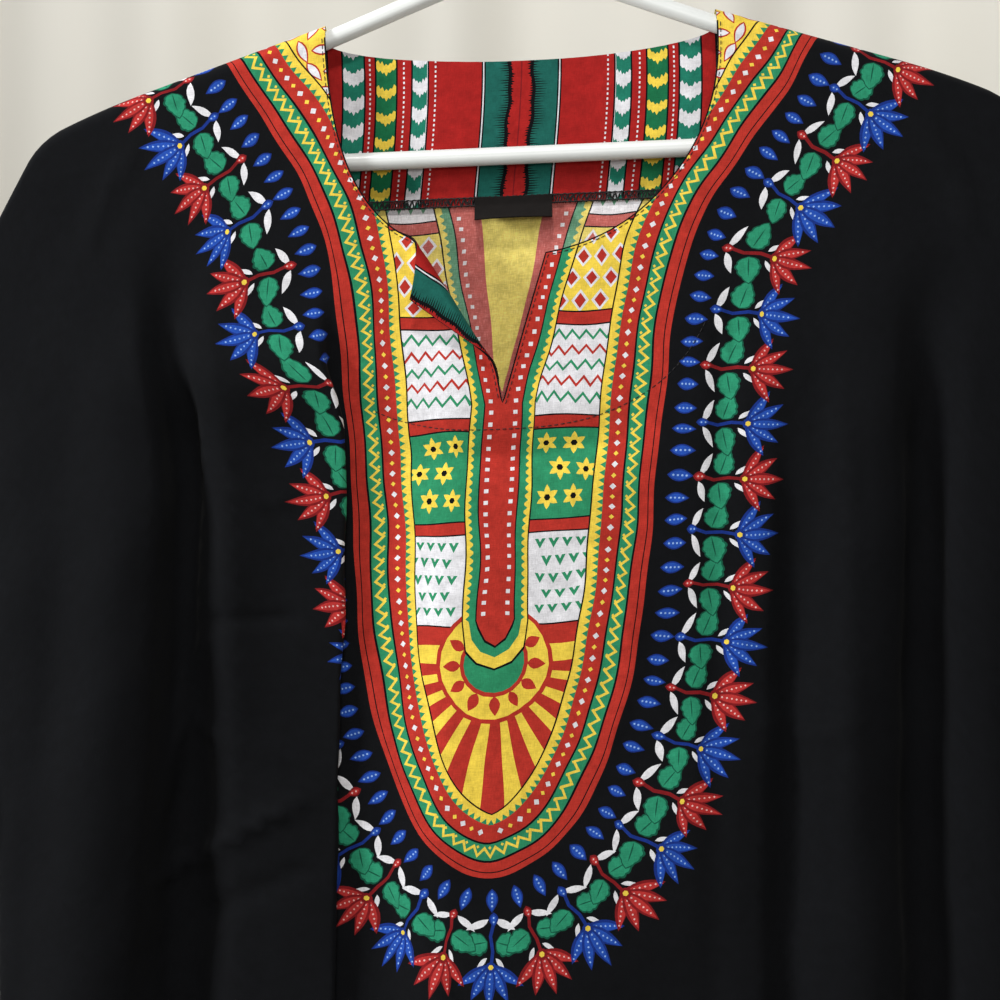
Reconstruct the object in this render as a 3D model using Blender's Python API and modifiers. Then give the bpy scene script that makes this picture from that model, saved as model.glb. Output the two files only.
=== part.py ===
"""A dashiki shirt on a tubular hanger, as a Blender scene in metres, +Z up, front towards -Y.

The origin is the point of the hook that rests on a rail. Every piece of cloth is drawn first on
the flat cut: u runs across it from the centre line and w runs down it from the neck end of the
shoulder seam. The drape then carries (u, w) to its hung place. In each level section the cloth
keeps its length: its tangent angle comes from the soft folds and from one overlapped fold beside
the front's centre, and the section is the sum of the short steps in that direction.
"""

import math

import bmesh
import bpy
import numpy as np
from mathutils import Vector

# Cloth
WALL = 0.0010
SEAM_GAP = 0.0003
LAYER_STEP = WALL + SEAM_GAP
HALF_SEAM = 0.0004

# The flat cut
NECK_HALF = 0.092
CHEST_HALF = 0.310
LENGTH = 0.760
FRONT_NECK_DEPTH = 0.117
BACK_NECK_DEPTH = 0.0225
NECK_ROUNDNESS = 2.3
BACK_ROUNDNESS = 1.9
SLIT_HALF = 0.0167
SLIT_END = 0.185
SLEEVE_LENGTH = 0.230
SHOULDER_PITCH = math.radians(18.0)

# Facings and label
FACING_REACH = 0.100
FRONT_FACING_SIDE = 0.105
FRONT_FACING_END = 0.199
FRONT_FACING_ROUNDNESS = 2.6
BACK_FACING_END = 0.090
FACING_OFF_TUCK = 0.016
FACING_SNAP = 0.0015
LABEL_WIDTH = 0.037
LABEL_HOLD = 0.004
LABEL_DROP = 0.009
LABEL_LEAN = math.radians(35)

# The hanger
TUBE_RADIUS = 0.0042
HOOK_TUBE_RADIUS = 0.0036
HOOK_RADIUS = 0.0215
HANGER_HALF = 0.213
ARM_RISE = math.tan(math.radians(21.0))
APEX_ROUND = 0.008
BAR_BELOW_NECK = 0.0645
END_BEND = 0.006
END_BEND_TURNS = range(50, -91, -20)
APEX_FLAT = 0.0015
ARM_PLACES = (0.004, 0.008, 0.013, 0.020, 0.045, NECK_HALF)
HOOK_TURNS = range(-48, 193, 15)
STEM_BELOW_HOOK = 0.016
STEM_PULL = 0.011
HOOK_PULL = 0.009
NECK_Z = -0.105
TILT = math.radians(2.5)

# The cloth lies over the arms on its facings, so its middle keeps this radius round the tube.
WRAP = TUBE_RADIUS + SEAM_GAP + WALL + SEAM_GAP + WALL / 2
QUARTER_WRAP = WRAP * math.pi / 2

# How the shoulder seam runs: its pitch in degrees after each length along the seam.
SEAM_COURSE = (
    # along_seam, pitch
    (0.000, 18.0),
    (0.090, 18.0),
    (0.132, 24.0),
    (0.156, 60.0),
    (0.240, 62.0),
)

# Rows of the walls down the cut: evenly round the hanger, then wider and wider down to the hem.
WRAP_ROWS = 3
ROWS = 19
ROW_GRADING = 1.45
UNDERARM_STEPS = 9
UNDERARM_ROW = WRAP_ROWS + UNDERARM_STEPS

# Where the side edges hang: x at the shoulder end, at the underarm and at the hem.
SHOULDER_END = (CHEST_HALF - NECK_HALF) * math.tan(SHOULDER_PITCH)
BELOW_WRAP = SHOULDER_END + QUARTER_WRAP
UNDERARM = BELOW_WRAP + (LENGTH - BELOW_WRAP) * (UNDERARM_STEPS / ROWS) ** ROW_GRADING
SIDE_LEVELS = (SHOULDER_END, UNDERARM, LENGTH)
SIDE_X = {-1: (-0.2640, -0.2620, -0.2740), 1: (0.2640, 0.2430, 0.2370)}
HEM_LIFT = 0.70
SIDE_ROUND = 0.030
ARMHOLE_OPENING = 0.012

# The centre line leans to the left as it goes down, and the cloth hangs plumb from the tilted hanger.
CENTRE_LEAN = -0.0145
LEAN_LEVELS = (0.02, 0.44)
PLUMB_FROM = 0.02
CENTRE_DEPTH = {"front": 0.016, "back": 0.010}
DEPTH_LEVEL = 0.25

# The overlapped fold to the left of the front's centre.
TUCK_AT = -0.078
TUCK_RADIUS = 0.0022
TUCK_LEVELS = (0.125, 0.200)
TUCK_GROWTH = (0.150, 0.430)
TUCK_DEPTH = 0.028
TUCK_LEAD = 0.3

# The ground beside the centre sinks towards the overlapped fold and comes back after it.
SINK = {"start": -0.018, "floor": -0.058, "back_from": -0.010, "back_to": -0.080}
SINK_DEPTH = 0.016
SINK_LEVELS = (0.11, 0.24)
SINK_EASES_FROM = 0.42
SINK_END_SHARE = 0.6
SINK_COMES_BACK = 0.8

# Soft folds. u_top and u_hem: place across the cloth. half: half width. deep_top, deep_hem:
# depth, positive into the shirt. from_w, full_w: where the fold begins and is fully formed.
FRONT_FOLDS = (
    # u_top, u_hem, half, deep_top, deep_hem, from_w, full_w
    (-0.160, -0.178, 0.030, 0.024, 0.016, 0.080, 0.230),
    (-0.209, -0.226, 0.034, -0.006, -0.008, 0.120, 0.300),
    (0.103, 0.104, 0.012, 0.003, 0.000, 0.120, 0.170),
    (0.143, 0.139, 0.018, 0.006, 0.008, 0.150, 0.330),
    (0.174, 0.180, 0.030, -0.007, -0.010, 0.110, 0.280),
    (0.218, 0.222, 0.028, 0.018, 0.014, 0.110, 0.260),
    (0.256, 0.262, 0.026, -0.004, -0.006, 0.160, 0.300),
    (0.040, 0.052, 0.060, 0.000, -0.007, 0.380, 0.620),
)
BACK_FOLDS = (
    (-0.222, -0.234, 0.030, -0.016, -0.012, 0.090, 0.260),
    (-0.168, -0.182, 0.036, 0.007, 0.008, 0.100, 0.280),
    (-0.105, -0.122, 0.032, -0.006, -0.010, 0.180, 0.420),
    (-0.040, -0.048, 0.044, 0.003, 0.007, 0.200, 0.480),
    (0.034, 0.030, 0.034, -0.004, -0.009, 0.220, 0.460),
    (0.110, 0.112, 0.042, 0.005, 0.008, 0.140, 0.360),
    (0.176, 0.184, 0.030, -0.007, -0.010, 0.110, 0.320),
    (0.226, 0.236, 0.028, -0.013, -0.008, 0.090, 0.260),
)

# The corner of the neck slit that is turned out to the left.
FLAP_TOP_U = -0.0535
FLAP_END = (-0.0030, 0.1760)
FLAP_RADIUS = 0.0030
FLAP_TURN = math.radians(165)
FLAP_POINTS = 5
FLAP_LEAST = 0.0004
FLAP_SHARES = (0, 0.12, 0.24, 0.4, 0.7, 1.0)

# The net of level sections, and where on the way to the side its cloth begins to ease
SECTION_STEP_U = 0.0005
SECTION_STEP_W = 0.005
EASED_FROM = 0.12
STEEPEST_SLOPE = 0.95
NORMAL_STEP = 0.0012
HUNG_BELOW_SEAM = 0.12

# Where down the cut the columns leave their tops' places, and where they have joined their lines
COLUMNS_LEAVE = 0.04
COLUMNS_JOIN = {"right_front": 0.20, "left_front": 0.165, "back": 0.10}
SHORTEST_EASE = 0.02

# The sleeve, as rings that fan from the upright armhole to the hanging cuff.
SLEEVE_RINGS = 11
SLEEVE_CLEARANCE = 0.0008
CUFF_DEPTH = 0.031
CUFF_WAVES = 5
CUFF_WAVE_SIZE = 0.15
UNDERARM_RUN = (0.020, -0.042)
SLEEVE_PITCH = (62.0, 60.0)

WHITE_PLASTIC = ((0.83, 0.84, 0.82, 1), 0.3)
BLACK_COTTON = ((0.008, 0.0085, 0.010, 1), 0.9)
RED_COTTON = ((0.45, 0.035, 0.025, 1), 0.9)
BLACK_WOVEN = ((0.012, 0.009, 0.007, 1), 0.7)


def smooth(low, high, value):
    """0 below low, 1 above high, and an S curve between them."""
    t = np.clip((value - low) / (high - low), 0, 1)
    return t * t * (3 - 2 * t)


def neckline(depth, roundness, u):
    """w of the round neckline at u. Its top stands upright as far as the cloth wraps the hanger."""
    share = min(abs(u) / NECK_HALF, 1) ** roundness
    return QUARTER_WRAP + (depth - QUARTER_WRAP) * (1 - share) ** (1 / roundness)


def neckline_points(depth, roundness, inner_u, count):
    """Points of the neckline's right half, evenly round the curve from inner_u to its upright top."""
    start = math.acos((inner_u / NECK_HALF) ** (roundness / 2))
    us = [NECK_HALF * math.cos(start * (1 - k / count)) ** (2 / roundness) for k in range(count + 1)]
    return [(u, neckline(depth, roundness, u)) for u in us]


SLIT_CORNER = (SLIT_HALF, neckline(FRONT_NECK_DEPTH, NECK_ROUNDNESS, SLIT_HALF))
FLAP_TOP = (FLAP_TOP_U, neckline(FRONT_NECK_DEPTH, NECK_ROUNDNESS, FLAP_TOP_U))


# The shoulder seam


def seam_table():
    """Columns u, x, depth of the hung shoulder seam, from the centre line out."""
    along = np.arange(0, 0.24, 0.001)
    lengths, pitches = zip(*SEAM_COURSE)
    pitch = np.radians(np.interp(along, lengths, pitches))
    x = NECK_HALF + np.concatenate([[0], np.cumsum(np.cos(pitch[:-1]) * 0.001)])
    depth = np.concatenate([[0], np.cumsum(np.sin(pitch[:-1]) * 0.001)])
    u = NECK_HALF + along * math.cos(SHOULDER_PITCH)
    return np.append(0, u), np.append(0, x), np.append(-NECK_HALF * math.tan(SHOULDER_PITCH), depth)


SEAM_U, SEAM_X, SEAM_DEPTH = seam_table()


def flat_shoulder(u):
    """w of the shoulder line on the flat cut, carried on over the neck."""
    return (np.abs(u) - NECK_HALF) * math.tan(SHOULDER_PITCH)


def side_x(side, w):
    return np.interp(w, SIDE_LEVELS, SIDE_X[side])


# The drape


def tuck_depth(w):
    """How far the overlapped fold reaches under its upper layer."""
    return TUCK_DEPTH * np.clip((w - TUCK_GROWTH[0]) / (TUCK_GROWTH[1] - TUCK_GROWTH[0]), 0, 1)


def tuck_start(w):
    return TUCK_AT - tuck_depth(w)


def tuck_length(w):
    """Cloth taken up between the two turns' outer ends."""
    return 2 * math.pi * TUCK_RADIUS + tuck_depth(w)


def fold_depth(folds, u, w):
    """Depth of the soft folds at (u, w)."""
    total = np.zeros(np.broadcast(u, w).shape)
    for u_top, u_hem, half, deep_top, deep_hem, from_w, full_w in folds:
        middle = u_top + (u_hem - u_top) * w / LENGTH
        deep = deep_top + (deep_hem - deep_top) * w / LENGTH
        away = np.clip(np.abs(u - middle) / half, 0, 1)
        total = total + deep * smooth(from_w, full_w, w) * 0.5 * (1 + np.cos(math.pi * away))
    return total


def sink_depth(u, w):
    """The ground's sinking towards the overlapped fold."""
    down = smooth(-SINK["start"], -SINK["floor"], -u)
    edge = -tuck_start(w) + tuck_depth(w)
    back = smooth(edge - SINK["back_from"], edge - SINK["back_to"], -u)
    level = smooth(*SINK_LEVELS, w) * (1 - (1 - SINK_END_SHARE) * smooth(SINK_EASES_FROM, LENGTH, w))
    return SINK_DEPTH * level * (down - SINK_COMES_BACK * back)


def centre_depth(panel, w):
    return WRAP + CENTRE_DEPTH[panel] * smooth(0, DEPTH_LEVEL, w)


def side_closing(u, w):
    """1 over most of the panel, falling to the armhole's or the seam's opening at the side."""
    inwards = np.clip((CHEST_HALF - np.abs(u)) / SIDE_ROUND, 0, 1)
    down = np.clip((w - SIDE_LEVELS[0]) / (SIDE_LEVELS[1] - SIDE_LEVELS[0]), 0, 1)
    share = 2 * np.sqrt(down * (1 - down))
    opening = ARMHOLE_OPENING * share / (WRAP + CENTRE_DEPTH["front"])
    return opening + (1 - opening) * (1 - (1 - inwards) ** 2) ** (0.5 + 0.5 * share)


class Drape:
    """The hung middle surface of the front or the back, as a net of level sections."""

    def __init__(self, panel):
        self.front = panel == "front"
        self.u = np.arange(-CHEST_HALF, CHEST_HALF + SECTION_STEP_U / 2, SECTION_STEP_U)
        self.w = np.arange(-0.04, LENGTH + 2 * SECTION_STEP_W, SECTION_STEP_W)
        u, w = np.meshgrid(self.u, self.w)
        turn = self.tuck_turn(u, w) if self.front else 0 * u
        across = self.unfolded(u, w) if self.front else u
        folds = FRONT_FOLDS if self.front else BACK_FOLDS
        deep = fold_depth(folds, across, w)
        if self.front:
            deep = deep + sink_depth(across, w)
            depth = -centre_depth(panel, w) + deep
        else:
            depth = centre_depth(panel, w) - deep
        depth = depth * side_closing(u, w)
        slope = np.gradient(depth, SECTION_STEP_U, axis=1)
        slope = np.clip(slope, -STEEPEST_SLOPE, STEEPEST_SLOPE)
        angle = np.arcsin(slope) + turn
        self.x = self.summed(np.cos(angle)) + self.lean(w)
        self.y = depth + self.summed(np.sin(angle) - slope)
        self.meet_sides(u, w)

    @staticmethod
    def lean(w):
        low, high = LEAN_LEVELS
        plumb = -math.tan(TILT) * np.maximum(w - PLUMB_FROM, 0)
        left = 1 - np.clip((w - low) / (high - low), 0, 1)
        return plumb + CENTRE_LEAN * (1 - left**2)

    def summed(self, rate):
        """The running sum of rate along u, 0 at the centre line."""
        steps = 0.5 * (rate[:, 1:] + rate[:, :-1]) * SECTION_STEP_U
        total = np.concatenate([np.zeros((len(rate), 1)), np.cumsum(steps, axis=1)], axis=1)
        return total - total[:, [len(self.u) // 2]]

    @staticmethod
    def unfolded(u, w):
        """u with the overlapped fold's own cloth taken out."""
        start, length = tuck_start(w), tuck_length(w)
        formed = smooth(*TUCK_LEVELS, w)
        inside = np.clip(start - u, 0, length)
        return u + inside * formed

    @staticmethod
    def tuck_turn(u, w):
        """The tangent's extra turn through the overlapped fold: out, back under, and out again."""
        bend = math.pi * TUCK_RADIUS
        past = tuck_start(w) - u
        rise = np.clip(past / bend, 0, 1)
        fall = np.clip((tuck_length(w) - past) / bend, 0, 1)
        return math.pi * smooth(*TUCK_LEVELS, w) * smooth(0, 1, rise) * smooth(0, 1, fall)

    def meet_sides(self, u, w):
        """Eases the outer cloth so that its edges hang where the side seams do."""
        for side, end in ((-1, 0), (1, -1)):
            outer = smooth(EASED_FROM, CHEST_HALF, side * u)
            self.x += outer * (side_x(side, w) - self.x[:, [end]])
            if self.front:
                spare = self.y[:, [end]] + centre_depth("front", w) * side_closing(CHEST_HALF, w)
                self.y -= outer * spare

    def read(self, net, u, w):
        """Bilinear reading of a net at the points (u, w)."""
        i = np.clip((w - self.w[0]) / SECTION_STEP_W, 0, len(self.w) - 1.001)
        j = np.clip((u - self.u[0]) / SECTION_STEP_U, 0, len(self.u) - 1.001)
        i0, j0 = i.astype(int), j.astype(int)
        fi, fj = i - i0, j - j0
        upper = net[i0, j0] * (1 - fj) + net[i0, j0 + 1] * fj
        lower = net[i0 + 1, j0] * (1 - fj) + net[i0 + 1, j0 + 1] * fj
        return upper * (1 - fi) + lower * fi

    def place(self, u, w):
        """Hung places of the flat points (u, w), as an array of x, y, z."""
        u, w = np.asarray(u, float), np.asarray(w, float)
        below = np.maximum(w - flat_shoulder(u), 0)
        over = np.clip(below / WRAP, 0, math.pi / 2)
        x = self.read(self.x, u, w)
        on_seam = np.sign(u) * np.interp(np.abs(u), SEAM_U, SEAM_X)
        hung = smooth(0, HUNG_BELOW_SEAM, below)
        x = on_seam * (1 - hung) + x * hung
        y = self.read(self.y, u, w) * np.sin(over)
        y = y - HALF_SEAM if self.front else y + HALF_SEAM
        seam = np.interp(np.abs(u), SEAM_U, SEAM_DEPTH)
        lifted = 1 - HEM_LIFT * smooth(0.2, LENGTH, w)
        depth = flat_shoulder(u) + (seam - flat_shoulder(u)) * lifted
        fall = np.where(below < QUARTER_WRAP, WRAP * (1 - np.cos(over)), WRAP + below - QUARTER_WRAP)
        return np.stack([x, y, NECK_Z - depth - fall], axis=-1)

    def normal(self, u, w):
        """The unit normal that points out of the shirt."""
        step = NORMAL_STEP
        across = self.place(u + step, w) - self.place(u - step, w)
        down = self.place(u, w + step) - self.place(u, w - step)
        out = np.cross(across, down) if self.front else np.cross(down, across)
        return -out / np.linalg.norm(out, axis=-1, keepdims=True)

    def lifted(self, u, w, out):
        """Hung places moved out along the normal; a negative value is a layer inside."""
        if not out:
            return self.place(u, w)
        return self.place(u, w) + out * self.normal(np.asarray(u, float), np.asarray(w, float))


# Meshes and objects


def material(name, finish):
    colour, roughness = finish
    made = bpy.data.materials.new(name)
    made.use_nodes = True
    shader = made.node_tree.nodes["Principled BSDF"]
    shader.inputs["Base Color"].default_value = colour
    shader.inputs["Roughness"].default_value = roughness
    return made


def wall_object(name, patches, finish, collection, closed=False):
    """One wall of cloth from grids of points that share their edges. A grid may come with a grid of
    numbers, and then only the side where they are below zero is kept."""
    mesh = bmesh.new()
    for patch in patches:
        points, beyond = patch if isinstance(patch, tuple) else (patch, np.full(patch.shape[:2], -1.0))
        rows, columns = points.shape[:2]
        for i in range(rows - 1):
            for j in range(columns if closed else columns - 1):
                k = (j + 1) % columns
                for corners in (((i, j), (i + 1, j), (i + 1, k)), ((i, j), (i + 1, k), (i, k))):
                    kept = kept_side([(points[c], beyond[c]) for c in corners])
                    if len(kept) > 2:
                        mesh.faces.new([mesh.verts.new(Vector(p)) for p in kept])
    bmesh.ops.remove_doubles(mesh, verts=mesh.verts, dist=0.00002)
    bmesh.ops.recalc_face_normals(mesh, faces=mesh.faces)
    data = bpy.data.meshes.new(name)
    mesh.to_mesh(data)
    mesh.free()
    made = bpy.data.objects.new(name, data)
    collection.objects.link(made)
    data.materials.append(finish)
    data.shade_smooth()
    wall = made.modifiers.new("wall", "SOLIDIFY")
    wall.thickness = WALL
    wall.offset = 0
    return made


def kept_side(corners):
    """The part of a face, as points, on the side where the corners' numbers are below zero."""
    kept = []
    for (point, value), (next_point, next_value) in zip(corners, corners[1:] + corners[:1]):
        if value <= 0:
            kept.append(point)
        if value * next_value < 0:
            kept.append(point + (next_point - point) * value / (value - next_value))
    return kept


def tube(name, points, radius, finish, collection, sides=3):
    """A round rod along the points, with closed ends."""
    curve = bpy.data.curves.new(name, "CURVE")
    curve.dimensions = "3D"
    curve.bevel_depth = radius
    curve.bevel_resolution = sides
    curve.use_fill_caps = True
    spline = curve.splines.new("POLY")
    spline.points.add(len(points) - 1)
    for point, place in zip(spline.points, points):
        point.co = (*place, 1)
    made = bpy.data.objects.new(name, curve)
    collection.objects.link(made)
    curve.materials.append(finish)
    return made


# The panels


def hem_shares():
    """How the rows stand between a column's top and the hem: close at the top, wider below."""
    return np.linspace(0, 1, ROWS + 1) ** ROW_GRADING


def column(top, place_at, join_w):
    """Flat points from a top point down to the hem, easing onto the line u = place_at(w).

    A top on the shoulder seam has more rows before it, over the hanger's tube."""
    start = top[1]
    wrap = []
    if abs(top[0]) >= NECK_HALF - 1e-9:
        wrap = [start + QUARTER_WRAP * k / WRAP_ROWS for k in range(WRAP_ROWS)]
        start += QUARTER_WRAP
    w = np.concatenate([wrap, start + (LENGTH - start) * hem_shares()])
    leaves = max(top[1], COLUMNS_LEAVE)
    eased = smooth(leaves, max(join_w, leaves + SHORTEST_EASE), w)
    return np.stack([top[0] + (place_at(w) - top[0]) * eased, w], axis=-1)


def straight(u):
    return lambda w: u + 0 * w


def shoulder_points(side, count):
    """Top points along the shoulder seam, from the neck point out."""
    u = NECK_HALF + (CHEST_HALF - NECK_HALF) * np.arange(0, count + 1) / count
    return [(side * x, float(flat_shoulder(x))) for x in u]


def neck_and_shoulder(inner, outer):
    """The flat grids of one side: within the neckline, and under the shoulder seam. They share a line."""
    within = [line[-ROWS - 1 :] for line in inner + outer[:1]]
    return [np.array(within).transpose(1, 0, 2), np.array(outer).transpose(1, 0, 2)]


def right_front():
    """Flat grids from the centre line to the right side."""
    slit, scoop, shoulder = 4, 9, 14
    rise = SLIT_CORNER[1] - SLIT_END
    opening = [(SLIT_HALF * k / slit, SLIT_END + rise * k / slit) for k in range(slit)]
    tops = opening + neckline_points(FRONT_NECK_DEPTH, NECK_ROUNDNESS, SLIT_HALF, scoop)[:-1]
    join = COLUMNS_JOIN["right_front"]
    inner = [column(top, straight(NECK_HALF * k / len(tops)), join) for k, top in enumerate(tops)]
    outer = [column(top, straight(top[0]), join) for top in shoulder_points(1, shoulder)]
    return neck_and_shoulder(inner, outer)


def tuck_lines(count):
    """Lines of u against w from the centre to the side, close together round the fold's bends."""
    inner, turns, under = 9, 5, 2
    outer = count - (inner + 1) - 1 - 2 * (turns + 1) - (under - 1)
    bend = math.pi * TUCK_RADIUS
    lines = [straight(TUCK_AT * k / inner) for k in range(inner + 1)]
    lines.append(lambda w: tuck_start(w) + TUCK_LEAD * tuck_depth(w))
    lines += [lambda w, k=k: tuck_start(w) - bend * k / turns for k in range(turns + 1)]
    lines += [lambda w, k=k: tuck_start(w) - bend - tuck_depth(w) * k / under for k in range(1, under)]
    lines += [
        lambda w, k=k: tuck_start(w) - tuck_length(w) + bend * (1 - k / turns) for k in range(turns + 1)
    ]
    lines += [
        lambda w, k=k: (tuck_start(w) - tuck_length(w)) * (1 - k / outer) - CHEST_HALF * k / outer
        for k in range(1, outer + 1)
    ]
    return lines


def flap_line(count):
    """Points along the turned-out corner's fold, from the slit's end up to the neckline."""
    start, end = np.array(FLAP_END), np.array(FLAP_TOP)
    return [start + (end - start) * k / (count - 1) for k in range(count)]


def left_front():
    """Flat grids from the centre line to the left side."""
    scoop, shoulder = 7, 20
    neck = [(-u, w) for u, w in neckline_points(FRONT_NECK_DEPTH, NECK_ROUNDNESS, -FLAP_TOP_U, scoop)]
    tops = [(0.0, SLIT_END)] + flap_line(FLAP_POINTS) + neck[1:-1]
    places = tuck_lines(len(tops) + shoulder + 1)
    join = COLUMNS_JOIN["left_front"]
    inner = [column(top, place, join) for top, place in zip(tops, places)]
    seam = zip(shoulder_points(-1, shoulder), places[len(tops) :])
    outer = [column(top, place, join) for top, place in seam]
    return neck_and_shoulder(inner, outer)


def flap_places(drape):
    """The turned-out corner: lines from the fold to the slit's edge, as hung places."""
    start, end = np.array(FLAP_TOP), np.array(FLAP_END)
    corner = np.array((-SLIT_CORNER[0], SLIT_CORNER[1]))
    line = (end - start) / np.linalg.norm(end - start)
    towards = np.array([line[1], -line[0]])
    reach_at_top, along_at_top = float((corner - start) @ towards), float((corner - start) @ line)
    direction = np.array([towards[0], 0, -towards[1]])
    lines = []
    for root in flap_line(FLAP_POINTS):
        left = np.linalg.norm(root - end) / np.linalg.norm(start - end)
        reach = max(reach_at_top * left, FLAP_LEAST)
        places = []
        for share in FLAP_SHARES:
            foot = root + line * along_at_top * left * share
            angle = min(reach * share / FLAP_RADIUS, FLAP_TURN)
            beyond = max(0.0, reach * share - FLAP_RADIUS * FLAP_TURN)
            sideways = FLAP_RADIUS * math.sin(angle) + beyond * math.cos(angle)
            forwards = FLAP_RADIUS * (1 - math.cos(angle)) + beyond * math.sin(angle)
            places.append(drape.place(*foot) + direction * sideways + np.array([0, -forwards, 0]))
        lines.append(places)
    return np.array(lines)


def flap_facing(drape):
    """The facing's own layer on the turned-out corner."""
    places = flap_places(drape)
    across = np.gradient(places, axis=1)
    along = np.gradient(places, axis=0)
    out = np.cross(across, along)
    out /= np.linalg.norm(out, axis=-1, keepdims=True)
    roots = np.array(flap_line(FLAP_POINTS))
    inside = -drape.normal(roots[:, 0], roots[:, 1])
    out *= np.sign(np.sum(out[:, 0] * inside))
    moved = places + out * LAYER_STEP
    moved[:, 0] = drape.lifted(roots[:, 0], roots[:, 1], -LAYER_STEP)
    return moved


def back_half():
    """Flat grids of the right half of the back."""
    scoop, shoulder = 7, 13
    tops = neckline_points(BACK_NECK_DEPTH, BACK_ROUNDNESS, 0, scoop)[:-1]
    join = COLUMNS_JOIN["back"]
    inner = [column(top, straight(top[0]), join) for top in tops]
    outer = [column(top, straight(top[0]), join) for top in shoulder_points(1, shoulder)]
    return neck_and_shoulder(inner, outer)


def both_halves():
    """Flat grids of the whole back."""
    right = back_half()
    return right + [grid[:, ::-1] * (-1, 1) for grid in right]


def build_front(drape, finish, collection):
    patches = [drape.place(grid[..., 0], grid[..., 1]) for grid in left_front() + right_front()]
    return wall_object("front", patches + [flap_places(drape)], finish, collection)


def build_back(drape, finish, collection):
    patches = [drape.place(grid[..., 0], grid[..., 1]) for grid in both_halves()]
    return wall_object("back", patches, finish, collection)


# Facings and label


def facing_patch(drape, grid, end):
    """A panel's grid moved inside by one layer, and how far each point lies beyond the facing's edge."""
    u, w = grid[..., 0], grid[..., 1]
    beyond = np.maximum(w - end(u), np.abs(u) - FACING_REACH)
    beyond[np.abs(beyond) < FACING_SNAP] = 0
    return drape.lifted(u, w, -LAYER_STEP), beyond


def front_facing_end(u):
    """w of the front facing's lower edge at u. It stops above the overlapped fold."""
    share = np.clip(np.abs(u) / FACING_REACH, 0, 1) ** FRONT_FACING_ROUNDNESS
    round_part = (FRONT_FACING_END - FRONT_FACING_SIDE) * (1 - share) ** (1 / FRONT_FACING_ROUNDNESS)
    end = FRONT_FACING_SIDE + round_part
    return np.where(u < TUCK_AT + FACING_OFF_TUCK, np.minimum(end, TUCK_LEVELS[0]), end)


def build_front_facing(drape, finish, collection):
    """The facing behind the front neck and slit, with its own part of the turned-out corner."""
    patches = [facing_patch(drape, grid, front_facing_end) for grid in left_front() + right_front()]
    patches.append(flap_facing(drape))
    return wall_object("front_neck_facing", patches, finish, collection)


def build_back_facing(drape, finish, collection):
    """The deep facing inside the back of the neck, from one shoulder seam to the other."""
    patches = [facing_patch(drape, grid, lambda u: BACK_FACING_END + 0 * u) for grid in both_halves()]
    return wall_object("back_neck_facing", patches, finish, collection)


def build_label(drape, finish, collection):
    """A bare woven label that hangs from the lower edge of the back facing."""
    across = np.linspace(-LABEL_WIDTH / 2, LABEL_WIDTH / 2, 7)
    start = drape.lifted(across, 0 * across + BACK_FACING_END - LABEL_HOLD, -2 * LAYER_STEP - SEAM_GAP)
    lean = np.array([0, -math.sin(LABEL_LEAN), -math.cos(LABEL_LEAN)])
    rows = [start, start + np.array([0, 0, -LABEL_HOLD])]
    rows += [rows[1] + lean * LABEL_DROP * share for share in (0.5, 1.0)]
    return wall_object("neck_label", [np.array(rows)], finish, collection)


# The sleeves


def armhole(front, back, side):
    """The hung edge of the armhole: from the shoulder down the back and up the front."""
    edge = column((side * CHEST_HALF, float(flat_shoulder(CHEST_HALF))), straight(side * CHEST_HALF), 0.2)
    edge = edge[: UNDERARM_ROW + 1]
    down = back.place(edge[:, 0], edge[:, 1])
    up = front.place(edge[:, 0], edge[:, 1])
    down[[0, -1]] = (down[[0, -1]] + up[[0, -1]]) / 2
    return np.concatenate([down, up[-2:0:-1]])


def sleeve_rings(front, back, side):
    """Rings of the sleeve, from the armhole to the cuff."""
    hole = armhole(front, back, side) + np.array([side * SLEEVE_CLEARANCE, 0, 0])
    shoulder, underarm = hole[0], hole[UNDERARM_ROW]
    height = (2 * hole[:, 2] - shoulder[2] - underarm[2]) / (shoulder[2] - underarm[2])
    turn = np.arccos(np.clip(height, -1, 1))
    turn[UNDERARM_ROW + 1 :] *= -1
    rings = []
    for share in np.linspace(0, 1, SLEEVE_RINGS):
        pitch = math.radians(SLEEVE_PITCH[0] + (SLEEVE_PITCH[1] - SLEEVE_PITCH[0]) * share)
        reach = share * SLEEVE_LENGTH
        outer = shoulder + reach * np.array([side * math.cos(pitch), 0, -math.sin(pitch)])
        inner = underarm + share * np.array([side * UNDERARM_RUN[0], 0, UNDERARM_RUN[1]])
        depth = ARMHOLE_OPENING + (CUFF_DEPTH - ARMHOLE_OPENING) * smooth(0, 0.8, share)
        wave = CUFF_WAVE_SIZE * smooth(0.15, 1, share) * np.cos(CUFF_WAVES * turn + 0.9 * side)
        round_ring = (outer + inner) / 2 + (outer - inner) / 2 * np.cos(turn)[:, None]
        round_ring[:, 1] += depth * np.sin(turn) * (1 + wave * np.sin(turn) ** 2)
        own = smooth(0, 0.25, share)
        follow = hole + (outer - shoulder) * ((1 + np.cos(turn)) / 2)[:, None]
        follow += (inner - underarm) * ((1 - np.cos(turn)) / 2)[:, None]
        rings.append(follow * (1 - own) + round_ring * own)
    return np.array(rings)


def build_sleeve(name, drapes, side, finish, collection):
    return wall_object(name, [sleeve_rings(*drapes, side)], finish, collection, closed=True)


# The hanger


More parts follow.
